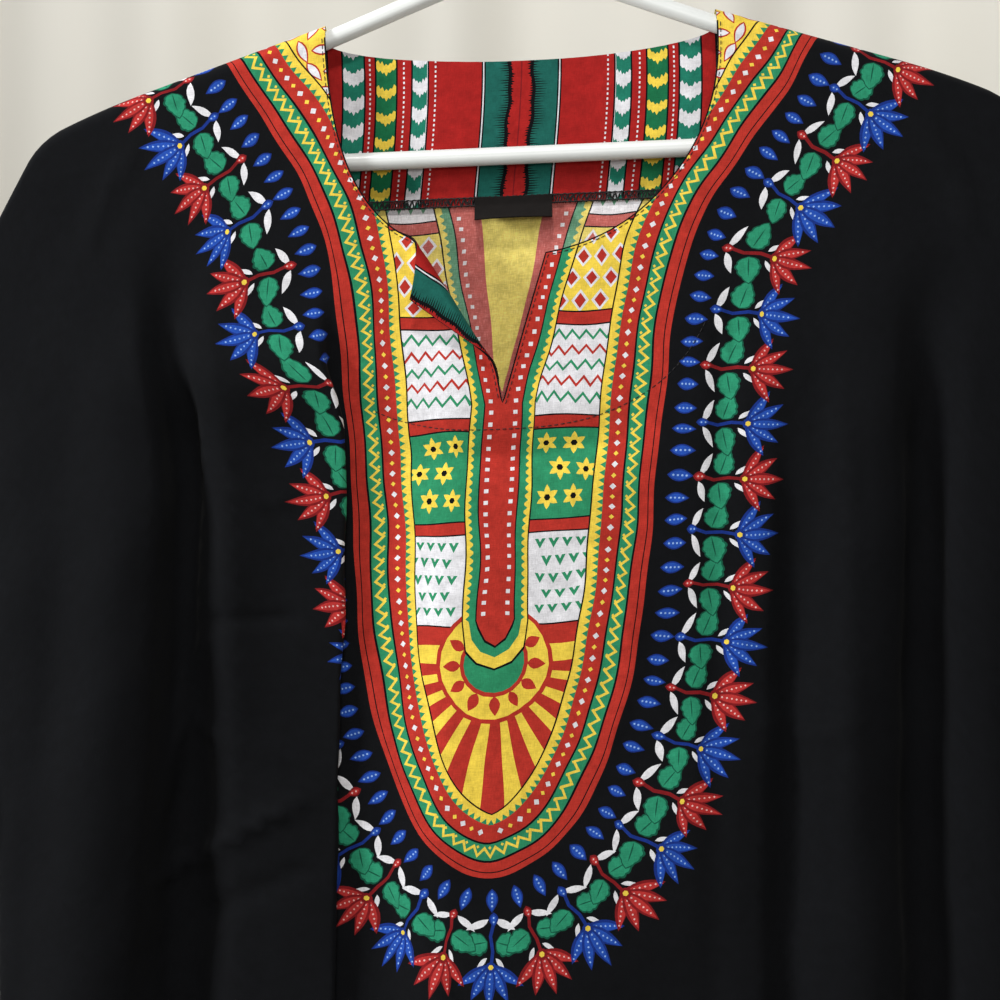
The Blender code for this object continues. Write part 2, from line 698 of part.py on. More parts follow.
def arm_path(side):
    """The tube's middle from the apex, along the arm and round the end bend to the bar."""
    below = WRAP / math.cos(SHOULDER_PITCH)
    top = NECK_Z - below + ARM_RISE * (math.hypot(NECK_HALF, APEX_ROUND) - APEX_ROUND)
    points = [(side * x, 0, top) for x in (SEAM_GAP / 2, APEX_FLAT)]
    for x in ARM_PLACES:
        height = ARM_RISE * (math.hypot(NECK_HALF, APEX_ROUND) - math.hypot(x, APEX_ROUND))
        points.append((side * x, 0, NECK_Z - below + height))
    bend_z = NECK_Z - BAR_BELOW_NECK + END_BEND
    for x in np.linspace(NECK_HALF, HANGER_HALF - END_BEND, 8)[1:]:
        points.append((side * x, 0, NECK_Z - below - float(np.interp(x, SEAM_X[1:], SEAM_DEPTH[1:]))))
    for angle in np.radians(END_BEND_TURNS):
        x = HANGER_HALF - END_BEND + END_BEND * math.cos(angle)
        points.append((side * x, 0, bend_z + END_BEND * math.sin(angle)))
    points.append((side * (HANGER_HALF - 2 * END_BEND), 0, bend_z - END_BEND))
    return points


def hook_path():
    """The stem and the open round of the hook, whose underside at the top is the origin."""
    apex = arm_path(1)[0][2] + TUBE_RADIUS + SEAM_GAP
    centre = HOOK_TUBE_RADIUS - HOOK_RADIUS
    arc_start = math.radians(HOOK_TURNS[0])
    first = np.array([HOOK_RADIUS * math.cos(arc_start), centre + HOOK_RADIUS * math.sin(arc_start)])
    stem_top = np.array([0, centre - HOOK_RADIUS - STEM_BELOW_HOOK])
    leaving = np.array([-math.sin(arc_start), math.cos(arc_start)])
    points = [(0, 0, apex), (0, 0, (apex + stem_top[1]) / 2)]
    for t in np.linspace(0, 1, 7)[:-1]:
        a, b = stem_top, stem_top + np.array([0, STEM_PULL])
        c, d = first - leaving * HOOK_PULL, first
        p = a * (1 - t) ** 3 + 3 * b * t * (1 - t) ** 2 + 3 * c * t**2 * (1 - t) + d * t**3
        points.append((p[0], 0, p[1]))
    for angle in np.radians(HOOK_TURNS):
        points.append((HOOK_RADIUS * math.cos(angle), 0, centre + HOOK_RADIUS * math.sin(angle)))
    return points


def hang(collection):
    """Tilts everything round the middle of the hook's round, as the hanger swings on its rail."""
    middle = HOOK_TUBE_RADIUS - HOOK_RADIUS
    swing = bpy.data.objects.new("swing", None)
    collection.objects.link(swing)
    swing.rotation_euler = (0, -TILT, 0)
    swing.location = (middle * math.sin(TILT), 0, middle * (1 - math.cos(TILT)))
    for made in collection.objects:
        if made is not swing:
            made.parent = swing


def build_hanger(finish, collection):
    for name, side in (("hanger_arm_left", -1), ("hanger_arm_right", 1)):
        tube(name, arm_path(side), TUBE_RADIUS, finish, collection)
    bar_end = HANGER_HALF - 2 * END_BEND - SEAM_GAP
    bar_z = NECK_Z - BAR_BELOW_NECK
    tube("hanger_bar", [(-bar_end, 0, bar_z), (bar_end, 0, bar_z)], TUBE_RADIUS, finish, collection)
    tube("hanger_hook", hook_path(), HOOK_TUBE_RADIUS, finish, collection)


def main():
    for existing in list(bpy.data.objects):
        bpy.data.objects.remove(existing)
    shirt = bpy.data.collections.new("dashiki_shirt_on_hanger")
    bpy.context.scene.collection.children.link(shirt)
    black = material("black_cotton", BLACK_COTTON)
    red = material("red_cotton", RED_COTTON)
    woven = material("black_woven", BLACK_WOVEN)
    white = material("white_plastic", WHITE_PLASTIC)
    front, back = Drape("front"), Drape("back")
    build_front(front, black, shirt)
    build_back(back, black, shirt)
    build_back_facing(back, red, shirt)
    build_front_facing(front, red, shirt)
    build_label(back, woven, shirt)
    build_sleeve("sleeve_left", (front, back), -1, black, shirt)
    build_sleeve("sleeve_right", (front, back), 1, black, shirt)
    build_hanger(white, shirt)
    hang(shirt)


main()
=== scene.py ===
"""The looks of a dashiki shirt on a tubular hanger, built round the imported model.

The cloth is drawn on the flat cut: u runs across it from the centre line and w runs down it from
the neck end of the shoulder seam, in metres. The print is a flat drawing in millimetres whose
edges are cut into the cloth's mesh, and the drape carries every flat point to its hung place.
"""

import math

import bpy
import numpy as np
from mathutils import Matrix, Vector
from mathutils.geometry import delaunay_2d_cdt


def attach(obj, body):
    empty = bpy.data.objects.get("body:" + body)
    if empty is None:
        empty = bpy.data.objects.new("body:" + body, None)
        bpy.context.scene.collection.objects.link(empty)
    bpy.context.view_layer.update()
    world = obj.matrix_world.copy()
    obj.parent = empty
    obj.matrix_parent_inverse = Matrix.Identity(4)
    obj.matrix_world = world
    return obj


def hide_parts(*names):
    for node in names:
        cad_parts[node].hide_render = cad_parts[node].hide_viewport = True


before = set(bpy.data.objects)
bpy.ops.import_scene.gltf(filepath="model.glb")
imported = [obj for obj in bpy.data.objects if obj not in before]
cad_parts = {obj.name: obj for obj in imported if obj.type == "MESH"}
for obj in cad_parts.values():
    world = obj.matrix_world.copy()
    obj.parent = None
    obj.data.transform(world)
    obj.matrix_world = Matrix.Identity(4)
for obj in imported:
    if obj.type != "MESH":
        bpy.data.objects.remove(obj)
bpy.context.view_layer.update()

# Cloth
WALL = 0.0010
SEAM_GAP = 0.0003
HALF_SEAM = 0.00002

# The flat cut
NECK_HALF = 0.092
CHEST_HALF = 0.310
LENGTH = 0.760
FRONT_NECK_DEPTH = 0.117
BACK_NECK_DEPTH = 0.0225
NECK_ROUNDNESS = 2.3
BACK_ROUNDNESS = 1.9
SLIT_HALF = 0.0167
SLIT_END = 0.185
SLEEVE_LENGTH = 0.230
SHOULDER_PITCH = math.radians(18.0)

# Facings and label
FACING_REACH = 0.100
FRONT_FACING_SIDE = 0.105
FRONT_FACING_END = 0.199
FRONT_FACING_ROUNDNESS = 2.6
BACK_FACING_END = 0.090
FACING_OFF_TUCK = 0.016
LABEL_WIDTH = 0.037
LABEL_HOLD = 0.004
LABEL_DROP = 0.009
LABEL_LEAN = math.radians(35)

# The hanger
TUBE_RADIUS = 0.0042
HOOK_TUBE_RADIUS = 0.0036
HOOK_RADIUS = 0.0215
HANGER_HALF = 0.213
ARM_RISE = math.tan(math.radians(21.0))
APEX_ROUND = 0.008
BAR_BELOW_NECK = 0.0645
END_BEND = 0.006
END_BEND_TURNS = range(50, -91, -20)
APEX_FLAT = 0.0015
ARM_PLACES = (0.004, 0.008, 0.013, 0.020, 0.045, NECK_HALF)
HOOK_TURNS = range(-48, 193, 15)
STEM_BELOW_HOOK = 0.016
STEM_PULL = 0.011
HOOK_PULL = 0.009
NECK_Z = -0.105
TILT = math.radians(2.5)

# The cloth lies over the arms on its facings, so its middle keeps this radius round the tube.
WRAP = TUBE_RADIUS + SEAM_GAP + WALL + SEAM_GAP + WALL / 2
QUARTER_WRAP = WRAP * math.pi / 2

# How the shoulder seam runs: its pitch in degrees after each length along the seam.
SEAM_COURSE = (
    # along_seam, pitch
    (0.000, 18.0),
    (0.090, 18.0),
    (0.132, 24.0),
    (0.156, 60.0),
    (0.240, 62.0),
)
SEAM_STEP = 0.001

# Where the underarm is down the cut: its step among steps that grow wider down to the hem.
ROWS = 19
ROW_GRADING = 1.45
UNDERARM_STEPS = 9

# Where the side edges hang: x at the shoulder end, at the underarm and at the hem.
SHOULDER_END = (CHEST_HALF - NECK_HALF) * math.tan(SHOULDER_PITCH)
BELOW_WRAP = SHOULDER_END + QUARTER_WRAP
UNDERARM = BELOW_WRAP + (LENGTH - BELOW_WRAP) * (UNDERARM_STEPS / ROWS) ** ROW_GRADING
SIDE_LEVELS = (SHOULDER_END, UNDERARM, LENGTH)
SIDE_X = {-1: (-0.2640, -0.2620, -0.2740), 1: (0.2640, 0.2430, 0.2370)}
HEM_LIFT = 0.70
HEM_LIFT_FROM = 0.2
SIDE_ROUND = 0.030
ARMHOLE_OPENING = 0.012

# The centre line leans to the left as it goes down, and the cloth hangs plumb.
CENTRE_LEAN = -0.0145
LEAN_LEVELS = (0.02, 0.44)
PLUMB_FROM = 0.02
CENTRE_DEPTH = {"front": 0.016, "back": 0.010}
DEPTH_LEVEL = 0.25

# The overlapped fold to the left of the front's centre.
TUCK_AT = -0.078
TUCK_RADIUS = 0.0022
TUCK_LEVELS = (0.125, 0.200)
TUCK_GROWTH = (0.150, 0.430)
TUCK_DEPTH = 0.028

# The ground beside the centre sinks towards the overlapped fold and comes back after it.
SINK = {"start": -0.018, "floor": -0.058, "back_from": -0.010, "back_to": -0.080}
SINK_DEPTH = 0.016
SINK_LEVELS = (0.11, 0.24)
SINK_EASES_FROM = 0.42
SINK_END_SHARE = 0.6
SINK_COMES_BACK = 0.8

# Soft folds. u_top and u_hem: place across the cloth. half: half width. deep_top, deep_hem:
# depth, positive into the shirt. from_w, full_w: where the fold begins and is fully formed.
FRONT_FOLDS = (
    # u_top, u_hem, half, deep_top, deep_hem, from_w, full_w
    (-0.163, -0.180, 0.032, 0.026, 0.019, 0.080, 0.230),
    (-0.214, -0.230, 0.034, -0.009, -0.010, 0.120, 0.300),
    (0.103, 0.104, 0.012, 0.003, 0.000, 0.120, 0.170),
    (0.143, 0.139, 0.018, 0.006, 0.008, 0.150, 0.330),
    (0.174, 0.180, 0.030, -0.007, -0.010, 0.110, 0.280),
    (0.218, 0.222, 0.028, 0.018, 0.014, 0.110, 0.260),
    (0.256, 0.262, 0.026, -0.004, -0.006, 0.160, 0.300),
    (0.040, 0.052, 0.060, 0.000, -0.007, 0.380, 0.620),
)
BACK_FOLDS = (
    (-0.222, -0.234, 0.030, -0.016, -0.012, 0.090, 0.260),
    (-0.168, -0.182, 0.036, 0.007, 0.008, 0.100, 0.280),
    (-0.105, -0.122, 0.032, -0.006, -0.010, 0.180, 0.420),
    (-0.040, -0.048, 0.044, 0.003, 0.007, 0.200, 0.480),
    (0.034, 0.030, 0.034, -0.004, -0.009, 0.220, 0.460),
    (0.110, 0.112, 0.042, 0.005, 0.008, 0.140, 0.360),
    (0.176, 0.184, 0.030, -0.007, -0.010, 0.110, 0.320),
    (0.226, 0.236, 0.028, -0.013, -0.008, 0.090, 0.260),
)

# The corner of the neck slit that is turned out to the left.
FLAP_TOP_U = -0.0535
FLAP_END = (-0.0030, 0.1760)
FLAP_RADIUS = 0.0030
FLAP_TURN = math.radians(165)

# The net of level sections, and where on the way to the side its cloth begins to ease
SECTION_STEP_U = 0.0005
SECTION_STEP_W = 0.005
SECTIONS_FROM = -0.04
EASED_FROM = 0.12
STEEPEST_SLOPE = 0.95
HUNG_BELOW_SEAM = 0.12

# The sleeve, as rings that fan from the upright armhole to the hanging cuff.
SLEEVE_CLEARANCE = 0.0001
CUFF_DEPTH = 0.031
CUFF_WAVES = 5
CUFF_WAVE_SIZE = 0.15
UNDERARM_RUN = (0.020, -0.042)
SLEEVE_PITCH = (62.0, 60.0)


def smooth(low, high, value):
    """0 below low, 1 above high, and an S curve between them."""
    t = np.clip((value - low) / (high - low), 0, 1)
    return t * t * (3 - 2 * t)


def neckline(depth, roundness, u):
    """w of the round neckline at u. Its top stands upright as far as the cloth wraps the hanger."""
    share = np.minimum(np.abs(u) / NECK_HALF, 1) ** roundness
    return QUARTER_WRAP + (depth - QUARTER_WRAP) * (1 - share) ** (1 / roundness)


SLIT_CORNER = (SLIT_HALF, float(neckline(FRONT_NECK_DEPTH, NECK_ROUNDNESS, SLIT_HALF)))
FLAP_TOP = (FLAP_TOP_U, float(neckline(FRONT_NECK_DEPTH, NECK_ROUNDNESS, FLAP_TOP_U)))


# The shoulder seam


def seam_table():
    """Columns u, x, depth of the hung shoulder seam, from the centre line out."""
    lengths, pitches = zip(*SEAM_COURSE)
    along = np.arange(0, lengths[-1], SEAM_STEP)
    pitch = np.radians(np.interp(along, lengths, pitches))[:-1]
    x = NECK_HALF + np.append(0, np.cumsum(np.cos(pitch) * SEAM_STEP))
    depth = np.append(0, np.cumsum(np.sin(pitch) * SEAM_STEP))
    u = NECK_HALF + along * math.cos(SHOULDER_PITCH)
    return np.append(0, u), np.append(0, x), np.append(-NECK_HALF * math.tan(SHOULDER_PITCH), depth)


SEAM_U, SEAM_X, SEAM_DEPTH = seam_table()


def flat_shoulder(u):
    """w of the shoulder line on the flat cut, carried on over the neck."""
    return (np.abs(u) - NECK_HALF) * math.tan(SHOULDER_PITCH)


def side_x(side, w):
    return np.interp(w, SIDE_LEVELS, SIDE_X[side])


# The drape


def tuck_depth(w):
    """How far the overlapped fold reaches under its upper layer."""
    return TUCK_DEPTH * np.clip((w - TUCK_GROWTH[0]) / (TUCK_GROWTH[1] - TUCK_GROWTH[0]), 0, 1)


def tuck_start(w):
    return TUCK_AT - tuck_depth(w)


def tuck_length(w):
    """Cloth taken up between the two turns' outer ends."""
    return 2 * math.pi * TUCK_RADIUS + tuck_depth(w)


def fold_depth(folds, u, w):
    """Depth of the soft folds at (u, w)."""
    total = np.zeros(np.broadcast(u, w).shape)
    for u_top, u_hem, half, deep_top, deep_hem, from_w, full_w in folds:
        middle = u_top + (u_hem - u_top) * w / LENGTH
        deep = deep_top + (deep_hem - deep_top) * w / LENGTH
        away = np.clip(np.abs(u - middle) / half, 0, 1)
        total = total + deep * smooth(from_w, full_w, w) * 0.5 * (1 + np.cos(math.pi * away))
    return total


def sink_depth(u, w):
    """The ground's sinking towards the overlapped fold."""
    down = smooth(-SINK["start"], -SINK["floor"], -u)
    edge = -tuck_start(w) + tuck_depth(w)
    back = smooth(edge - SINK["back_from"], edge - SINK["back_to"], -u)
    eased = 1 - (1 - SINK_END_SHARE) * smooth(SINK_EASES_FROM, LENGTH, w)
    level = smooth(*SINK_LEVELS, w) * eased
    return SINK_DEPTH * level * (down - SINK_COMES_BACK * back)


def centre_depth(panel, w):
    return WRAP + CENTRE_DEPTH[panel] * smooth(0, DEPTH_LEVEL, w)


def side_closing(u, w):
    """1 over most of the panel, falling to the armhole's or the seam's opening at the side."""
    inwards = np.clip((CHEST_HALF - np.abs(u)) / SIDE_ROUND, 0, 1)
    down = np.clip((w - SIDE_LEVELS[0]) / (SIDE_LEVELS[1] - SIDE_LEVELS[0]), 0, 1)
    share = 2 * np.sqrt(down * (1 - down))
    opening = ARMHOLE_OPENING * share / (WRAP + CENTRE_DEPTH["front"])
    return opening + (1 - opening) * (1 - (1 - inwards) ** 2) ** (0.5 + 0.5 * share)


class Drape:
    """The hung middle surface of the front or the back, as a net of level sections."""

    def __init__(self, panel):
        self.front = panel == "front"
        self.u = np.arange(-CHEST_HALF, CHEST_HALF + SECTION_STEP_U / 2, SECTION_STEP_U)
        self.w = np.arange(SECTIONS_FROM, LENGTH + 2 * SECTION_STEP_W, SECTION_STEP_W)
        u, w = np.meshgrid(self.u, self.w)
        turn = self.tuck_turn(u, w) if self.front else 0 * u
        across = self.unfolded(u, w) if self.front else u
        folds = FRONT_FOLDS if self.front else BACK_FOLDS
        deep = fold_depth(folds, across, w)
        if self.front:
            deep = deep + sink_depth(across, w)
            depth = -centre_depth(panel, w) + deep
        else:
            depth = centre_depth(panel, w) - deep
        depth = depth * side_closing(u, w)
        slope = np.gradient(depth, SECTION_STEP_U, axis=1)
        slope = np.clip(slope, -STEEPEST_SLOPE, STEEPEST_SLOPE)
        angle = np.arcsin(slope) + turn
        self.x = self.summed(np.cos(angle)) + self.lean(w)
        self.y = depth + self.summed(np.sin(angle) - slope)
        self.meet_sides(u, w)

    @staticmethod
    def lean(w):
        low, high = LEAN_LEVELS
        plumb = -math.tan(TILT) * np.maximum(w - PLUMB_FROM, 0)
        left = 1 - np.clip((w - low) / (high - low), 0, 1)
        return plumb + CENTRE_LEAN * (1 - left**2)

    def summed(self, rate):
        """The running sum of rate along u, 0 at the centre line."""
        steps = 0.5 * (rate[:, 1:] + rate[:, :-1]) * SECTION_STEP_U
        total = np.concatenate([np.zeros((len(rate), 1)), np.cumsum(steps, axis=1)], axis=1)
        return total - total[:, [len(self.u) // 2]]

    @staticmethod
    def unfolded(u, w):
        """u with the overlapped fold's own cloth taken out."""
        start, length = tuck_start(w), tuck_length(w)
        formed = smooth(*TUCK_LEVELS, w)
        inside = np.clip(start - u, 0, length)
        return u + inside * formed

    @staticmethod
    def tuck_turn(u, w):
        """The tangent's extra turn through the overlapped fold: out, back under, and out again."""
        bend = math.pi * TUCK_RADIUS
        past = tuck_start(w) - u
        rise = np.clip(past / bend, 0, 1)
        fall = np.clip((tuck_length(w) - past) / bend, 0, 1)
        return math.pi * smooth(*TUCK_LEVELS, w) * smooth(0, 1, rise) * smooth(0, 1, fall)

    def meet_sides(self, u, w):
        """Eases the outer cloth so that its edges hang where the side seams do."""
        for side, end in ((-1, 0), (1, -1)):
            outer = smooth(EASED_FROM, CHEST_HALF, side * u)
            self.x += outer * (side_x(side, w) - self.x[:, [end]])
            if self.front:
                spare = self.y[:, [end]] + centre_depth("front", w) * side_closing(CHEST_HALF, w)
                self.y -= outer * spare

    def read(self, net, u, w):
        """Bilinear reading of a net at the points (u, w)."""
        i = np.clip((w - self.w[0]) / SECTION_STEP_W, 0, len(self.w) - 1.001)
        j = np.clip((u - self.u[0]) / SECTION_STEP_U, 0, len(self.u) - 1.001)
        i0, j0 = i.astype(int), j.astype(int)
        fi, fj = i - i0, j - j0
        upper = net[i0, j0] * (1 - fj) + net[i0, j0 + 1] * fj
        lower = net[i0 + 1, j0] * (1 - fj) + net[i0 + 1, j0 + 1] * fj
        return upper * (1 - fi) + lower * fi

    def place(self, u, w):
        """Hung places of the flat points (u, w), as an array of x, y, z."""
        u, w = np.asarray(u, float), np.asarray(w, float)
        below = np.maximum(w - flat_shoulder(u), 0)
        over = np.clip(below / WRAP, 0, math.pi / 2)
        x = self.read(self.x, u, w)
        on_seam = np.sign(u) * np.interp(np.abs(u), SEAM_U, SEAM_X)
        hung = smooth(0, HUNG_BELOW_SEAM, below)
        x = on_seam * (1 - hung) + x * hung
        y = self.read(self.y, u, w) * np.sin(over)
        y = y - HALF_SEAM if self.front else y + HALF_SEAM
        seam = np.interp(np.abs(u), SEAM_U, SEAM_DEPTH)
        lifted = 1 - HEM_LIFT * smooth(HEM_LIFT_FROM, LENGTH, w)
        depth = flat_shoulder(u) + (seam - flat_shoulder(u)) * lifted
        turned = WRAP * (1 - np.cos(over))
        fall = np.where(below < QUARTER_WRAP, turned, WRAP + below - QUARTER_WRAP)
        return np.stack([x, y, NECK_Z - depth - fall], axis=-1)


def arm_path(side):
    """The tube's middle from the apex, along the arm and round the end bend to the bar."""
    start = NECK_Z - WRAP / math.cos(SHOULDER_PITCH)
    bend_x, bend_z = HANGER_HALF - END_BEND, NECK_Z - BAR_BELOW_NECK + END_BEND

    def rise(x):
        return ARM_RISE * (math.hypot(NECK_HALF, APEX_ROUND) - math.hypot(x, APEX_ROUND))

    points = [(x, start + rise(0)) for x in (SEAM_GAP / 2, APEX_FLAT)]
    points += [(x, start + rise(x)) for x in ARM_PLACES]
    for x in np.linspace(NECK_HALF, bend_x, 8)[1:]:
        points.append((x, start - float(np.interp(x, SEAM_X[1:], SEAM_DEPTH[1:]))))
    for turn in np.radians(END_BEND_TURNS):
        points.append((bend_x + END_BEND * math.cos(turn), bend_z + END_BEND * math.sin(turn)))
    points.append((bend_x - END_BEND, bend_z - END_BEND))
    return [(side * x, 0, z) for x, z in points]


def hook_path():
    """The stem and the open round of the hook, whose underside at the top is the origin."""
    apex = arm_path(1)[0][2] + TUBE_RADIUS + SEAM_GAP
    centre = HOOK_TUBE_RADIUS - HOOK_RADIUS
    turns = np.radians(HOOK_TURNS)
    arc = np.stack([HOOK_RADIUS * np.cos(turns), centre + HOOK_RADIUS * np.sin(turns)], -1)
    leaving = np.array([-math.sin(turns[0]), math.cos(turns[0])])
    a, d = np.array([0, centre - HOOK_RADIUS - STEM_BELOW_HOOK]), arc[0]
    b, c = a + (0, STEM_PULL), d - leaving * HOOK_PULL
    t = np.linspace(0, 1, 7)[:-1, None]
    curve = a * (1 - t) ** 3 + 3 * b * t * (1 - t) ** 2 + 3 * c * t**2 * (1 - t) + d * t**3
    return [(x, 0, z) for x, z in [(0, apex), (0, (apex + a[1]) / 2), *curve, *arc]]


# The shown cloth

MM = 0.001
CLOTH = 0.0005
FACING_INSIDE = 0.0011
FACING_AT_EDGE = 0.0006
WAVES = (14, 0.035, 0.150)
WAVE_HEIGHT = 0.00022
STILL_BY_SHOULDER = 0.06
STILL_BY_SIDE = 0.015
BASE_STEP = 0.0015
NORMAL_STEP = 0.0008
TINY = 1e-12
FLAP_LINE = np.array([FLAP_END[0] - FLAP_TOP[0], FLAP_END[1] - FLAP_TOP[1]])
FLAP_LINE /= np.linalg.norm(FLAP_LINE)
FLAP_TOWARDS = np.array([FLAP_LINE[1], -FLAP_LINE[0]])


def unit(vectors):
    return vectors / np.maximum(np.linalg.norm(vectors, axis=-1, keepdims=True), TINY)


def lengths_along(line):
    """How far along an open line each of its points is."""
    return np.concatenate([[0], np.cumsum(np.linalg.norm(np.diff(line, axis=0), axis=1))])


def read_along(line, run, at):
    """The places on a flat line at these distances along it."""
    return np.stack([np.interp(at, run, line[:, k]) for k in (0, 1)], -1)


def left_of(line):
    """Unit vectors that point to the left of a flat line."""
    way = np.gradient(line, axis=0)
    way /= np.linalg.norm(way, axis=1, keepdims=True)
    return np.stack([-way[:, 1], way[:, 0]], -1)


def tilted(places, middle=HOOK_TUBE_RADIUS - HOOK_RADIUS):
    """Places after the hanger's swing on its hook. With the middle at 0, normals after it."""
    places = np.array(places, float)
    x, z = places[..., 0].copy(), places[..., 2].copy()
    places[..., 0] = x * math.cos(TILT) - z * math.sin(TILT) + middle * math.sin(TILT)
    places[..., 2] = x * math.sin(TILT) + z * math.cos(TILT) + middle * (1 - math.cos(TILT))
    return places


def rolling(seed, count, shortest, longest):
    """Waves of a soft unevenness, as rows of two wave numbers and a phase."""
    chance = np.random.default_rng(seed)
    turn = 2 * math.pi / chance.uniform(shortest, longest, count)
    way = chance.uniform(0, math.pi, count)
    phase = chance.uniform(0, 2 * math.pi, count)
    return np.stack([turn * np.cos(way), turn * np.sin(way), phase], -1)


def waves_at(waves, u, w):
    return sum(np.sin(across * u + down * w + phase) for across, down, phase in waves)


class Panel:
    """The front or the back as it is shown. Flat points are in metres."""

    def __init__(self, name, seed, creases=(), seams=()):
        self.drape = Drape(name)
        self.front = name == "front"
        self.waves = rolling(seed, *WAVES)
        self.creases = creases
        self.seams = [(line, lengths_along(line)) for line in seams]

    def base(self, u, w):
        """Hung places, with the front's corner turned out."""
        places = self.drape.place(u, w)
        if not self.front:
            return places
        flat = np.stack(np.broadcast_arrays(u, w), axis=-1)
        reach = (flat - FLAP_TOP) @ FLAP_TOWARDS
        along = (flat - FLAP_TOP) @ FLAP_LINE
        on_flap = (flat[..., 0] < 0) & (flat[..., 1] < SLIT_END) & (reach > 0) & (along > 0)
        reach = np.where(on_flap, reach, 0)
        foot = flat - FLAP_TOWARDS * reach[..., None]
        turn = np.minimum(reach / FLAP_RADIUS, FLAP_TURN)
        beyond = np.maximum(0, reach - FLAP_RADIUS * FLAP_TURN)
        sideways = FLAP_RADIUS * np.sin(turn) + beyond * np.cos(turn)
        direction = np.array([FLAP_TOWARDS[0], 0, -FLAP_TOWARDS[1]])
        out = self.drape.place(foot[..., 0], foot[..., 1]) + direction * sideways[..., None]
        out[..., 1] -= FLAP_RADIUS * (1 - np.cos(turn)) + beyond * np.sin(turn)
        return np.where(on_flap[..., None], out, places)

    def facing_out(self, u, w, place, step):
        across = place(u + step, w) - place(u - step, w)
        down = place(u, w + step) - place(u, w - step)
        return unit(np.cross(down, across) if self.front else np.cross(across, down))

    def relief(self, u, w):
        """The small creases and the unevenness of worn cloth."""
        below = w - flat_shoulder(u)
        lift = WAVE_HEIGHT * waves_at(self.waves, u, w) * smooth(0, STILL_BY_SHOULDER, below)
        for points, height, half in self.creases:
            lift = lift + height * ridge(u, w, points, half)
        for line, along in self.seams:
            lift = lift + seam_relief(u, w, line, along)
        return lift * smooth(0, STILL_BY_SIDE, CHEST_HALF - np.abs(u))

    def hung(self, u, w):
        """The middle surface with its relief, before the swing."""
        out = self.facing_out(u, w, self.base, BASE_STEP)
        return self.base(u, w) + out * self.relief(u, w)[..., None]

    def places(self, flat, out=0.0):
        """Places and unit normals of flat points, moved out along the normal."""
        u, w = flat[..., 0], flat[..., 1]
        normals = self.facing_out(u, w, self.hung, NORMAL_STEP)
        return tilted(self.hung(u, w) + normals * out), tilted(normals, 0)


# A row of stitches in the cloth: its groove and the puckers beside it
GROOVE = {"deep": 0.00016, "half": 0.0008}
PUCKER = {"high": 0.00010, "half": 0.0055, "reach": 0.012, "turns": 820, "drift": 170}


def seam_relief(u, w, line, along):
    """A groove along a row of stitches, and the small puckers that it draws into the cloth."""
    lift = np.zeros(np.shape(u))
    low, high = line.min(axis=0) - PUCKER["reach"], line.max(axis=0) + PUCKER["reach"]
    near = (u > low[0]) & (u < high[0]) & (w > low[1]) & (w < high[1])
    if not near.any():
        return lift
    away = np.linalg.norm(np.stack([u[near], w[near]], -1)[:, None] - line[None], axis=2)
    run, away = along[np.argmin(away, axis=1)], away.min(axis=1)
    phase = run * PUCKER["turns"] + 2 * np.sin(run * PUCKER["drift"])
    pucker = PUCKER["high"] * np.sin(phase)
    lift[near] = pucker * np.exp(-((away / PUCKER["half"]) ** 2))
    lift[near] -= GROOVE["deep"] * np.exp(-((away / GROOVE["half"]) ** 2))
    return lift


RIDGE_END = 0.3


def ridge(u, w, points, half):
    """1 on the line through the points, falling off to both sides and at its ends."""
    best = np.zeros(np.broadcast(u, w).shape)
    runs = lengths_along(points)
    for (u0, w0), (u1, w1), run in zip(points, points[1:], runs):
        length = math.hypot(u1 - u0, w1 - w0)
        along = np.clip(((u - u0) * (u1 - u0) + (w - w0) * (w1 - w0)) / length**2, 0, 1)
        away = np.hypot(u - u0 - along * (u1 - u0), w - w0 - along * (w1 - w0))
        share = (run + along * length) / runs[-1]
        ends = smooth(0, RIDGE_END, share) * smooth(0, RIDGE_END, 1 - share)
        best = np.maximum(best, np.exp(-((away / half) ** 2)) * ends)
    return best


# Flat cutting. The net of points and the longest steps along lines, in millimetres.

GRID = 6.2
FACING_GRID = 4.0
ROW_SHARE = 0.87
OUTLINE_STEP = 5.0
PRINT_STEP = 6.0


def divided(points, most, closed=True):
    """The line through the points with no step longer than most."""
    points = np.asarray(points, float)
    made = []
    ends = np.roll(points, -1, axis=0) if closed else points[1:]
    for start, end in zip(points, ends):
        count = max(1, math.ceil(np.linalg.norm(end - start) / most))
        made += [start + (end - start) * k / count for k in range(count)]
    return np.array(made if closed else made + [points[-1]])


def turned_left(points):
    x, y = np.asarray(points).T
    area = np.sum(x * np.roll(y, -1) - np.roll(x, -1) * y)
    return points if area > 0 else points[::-1]


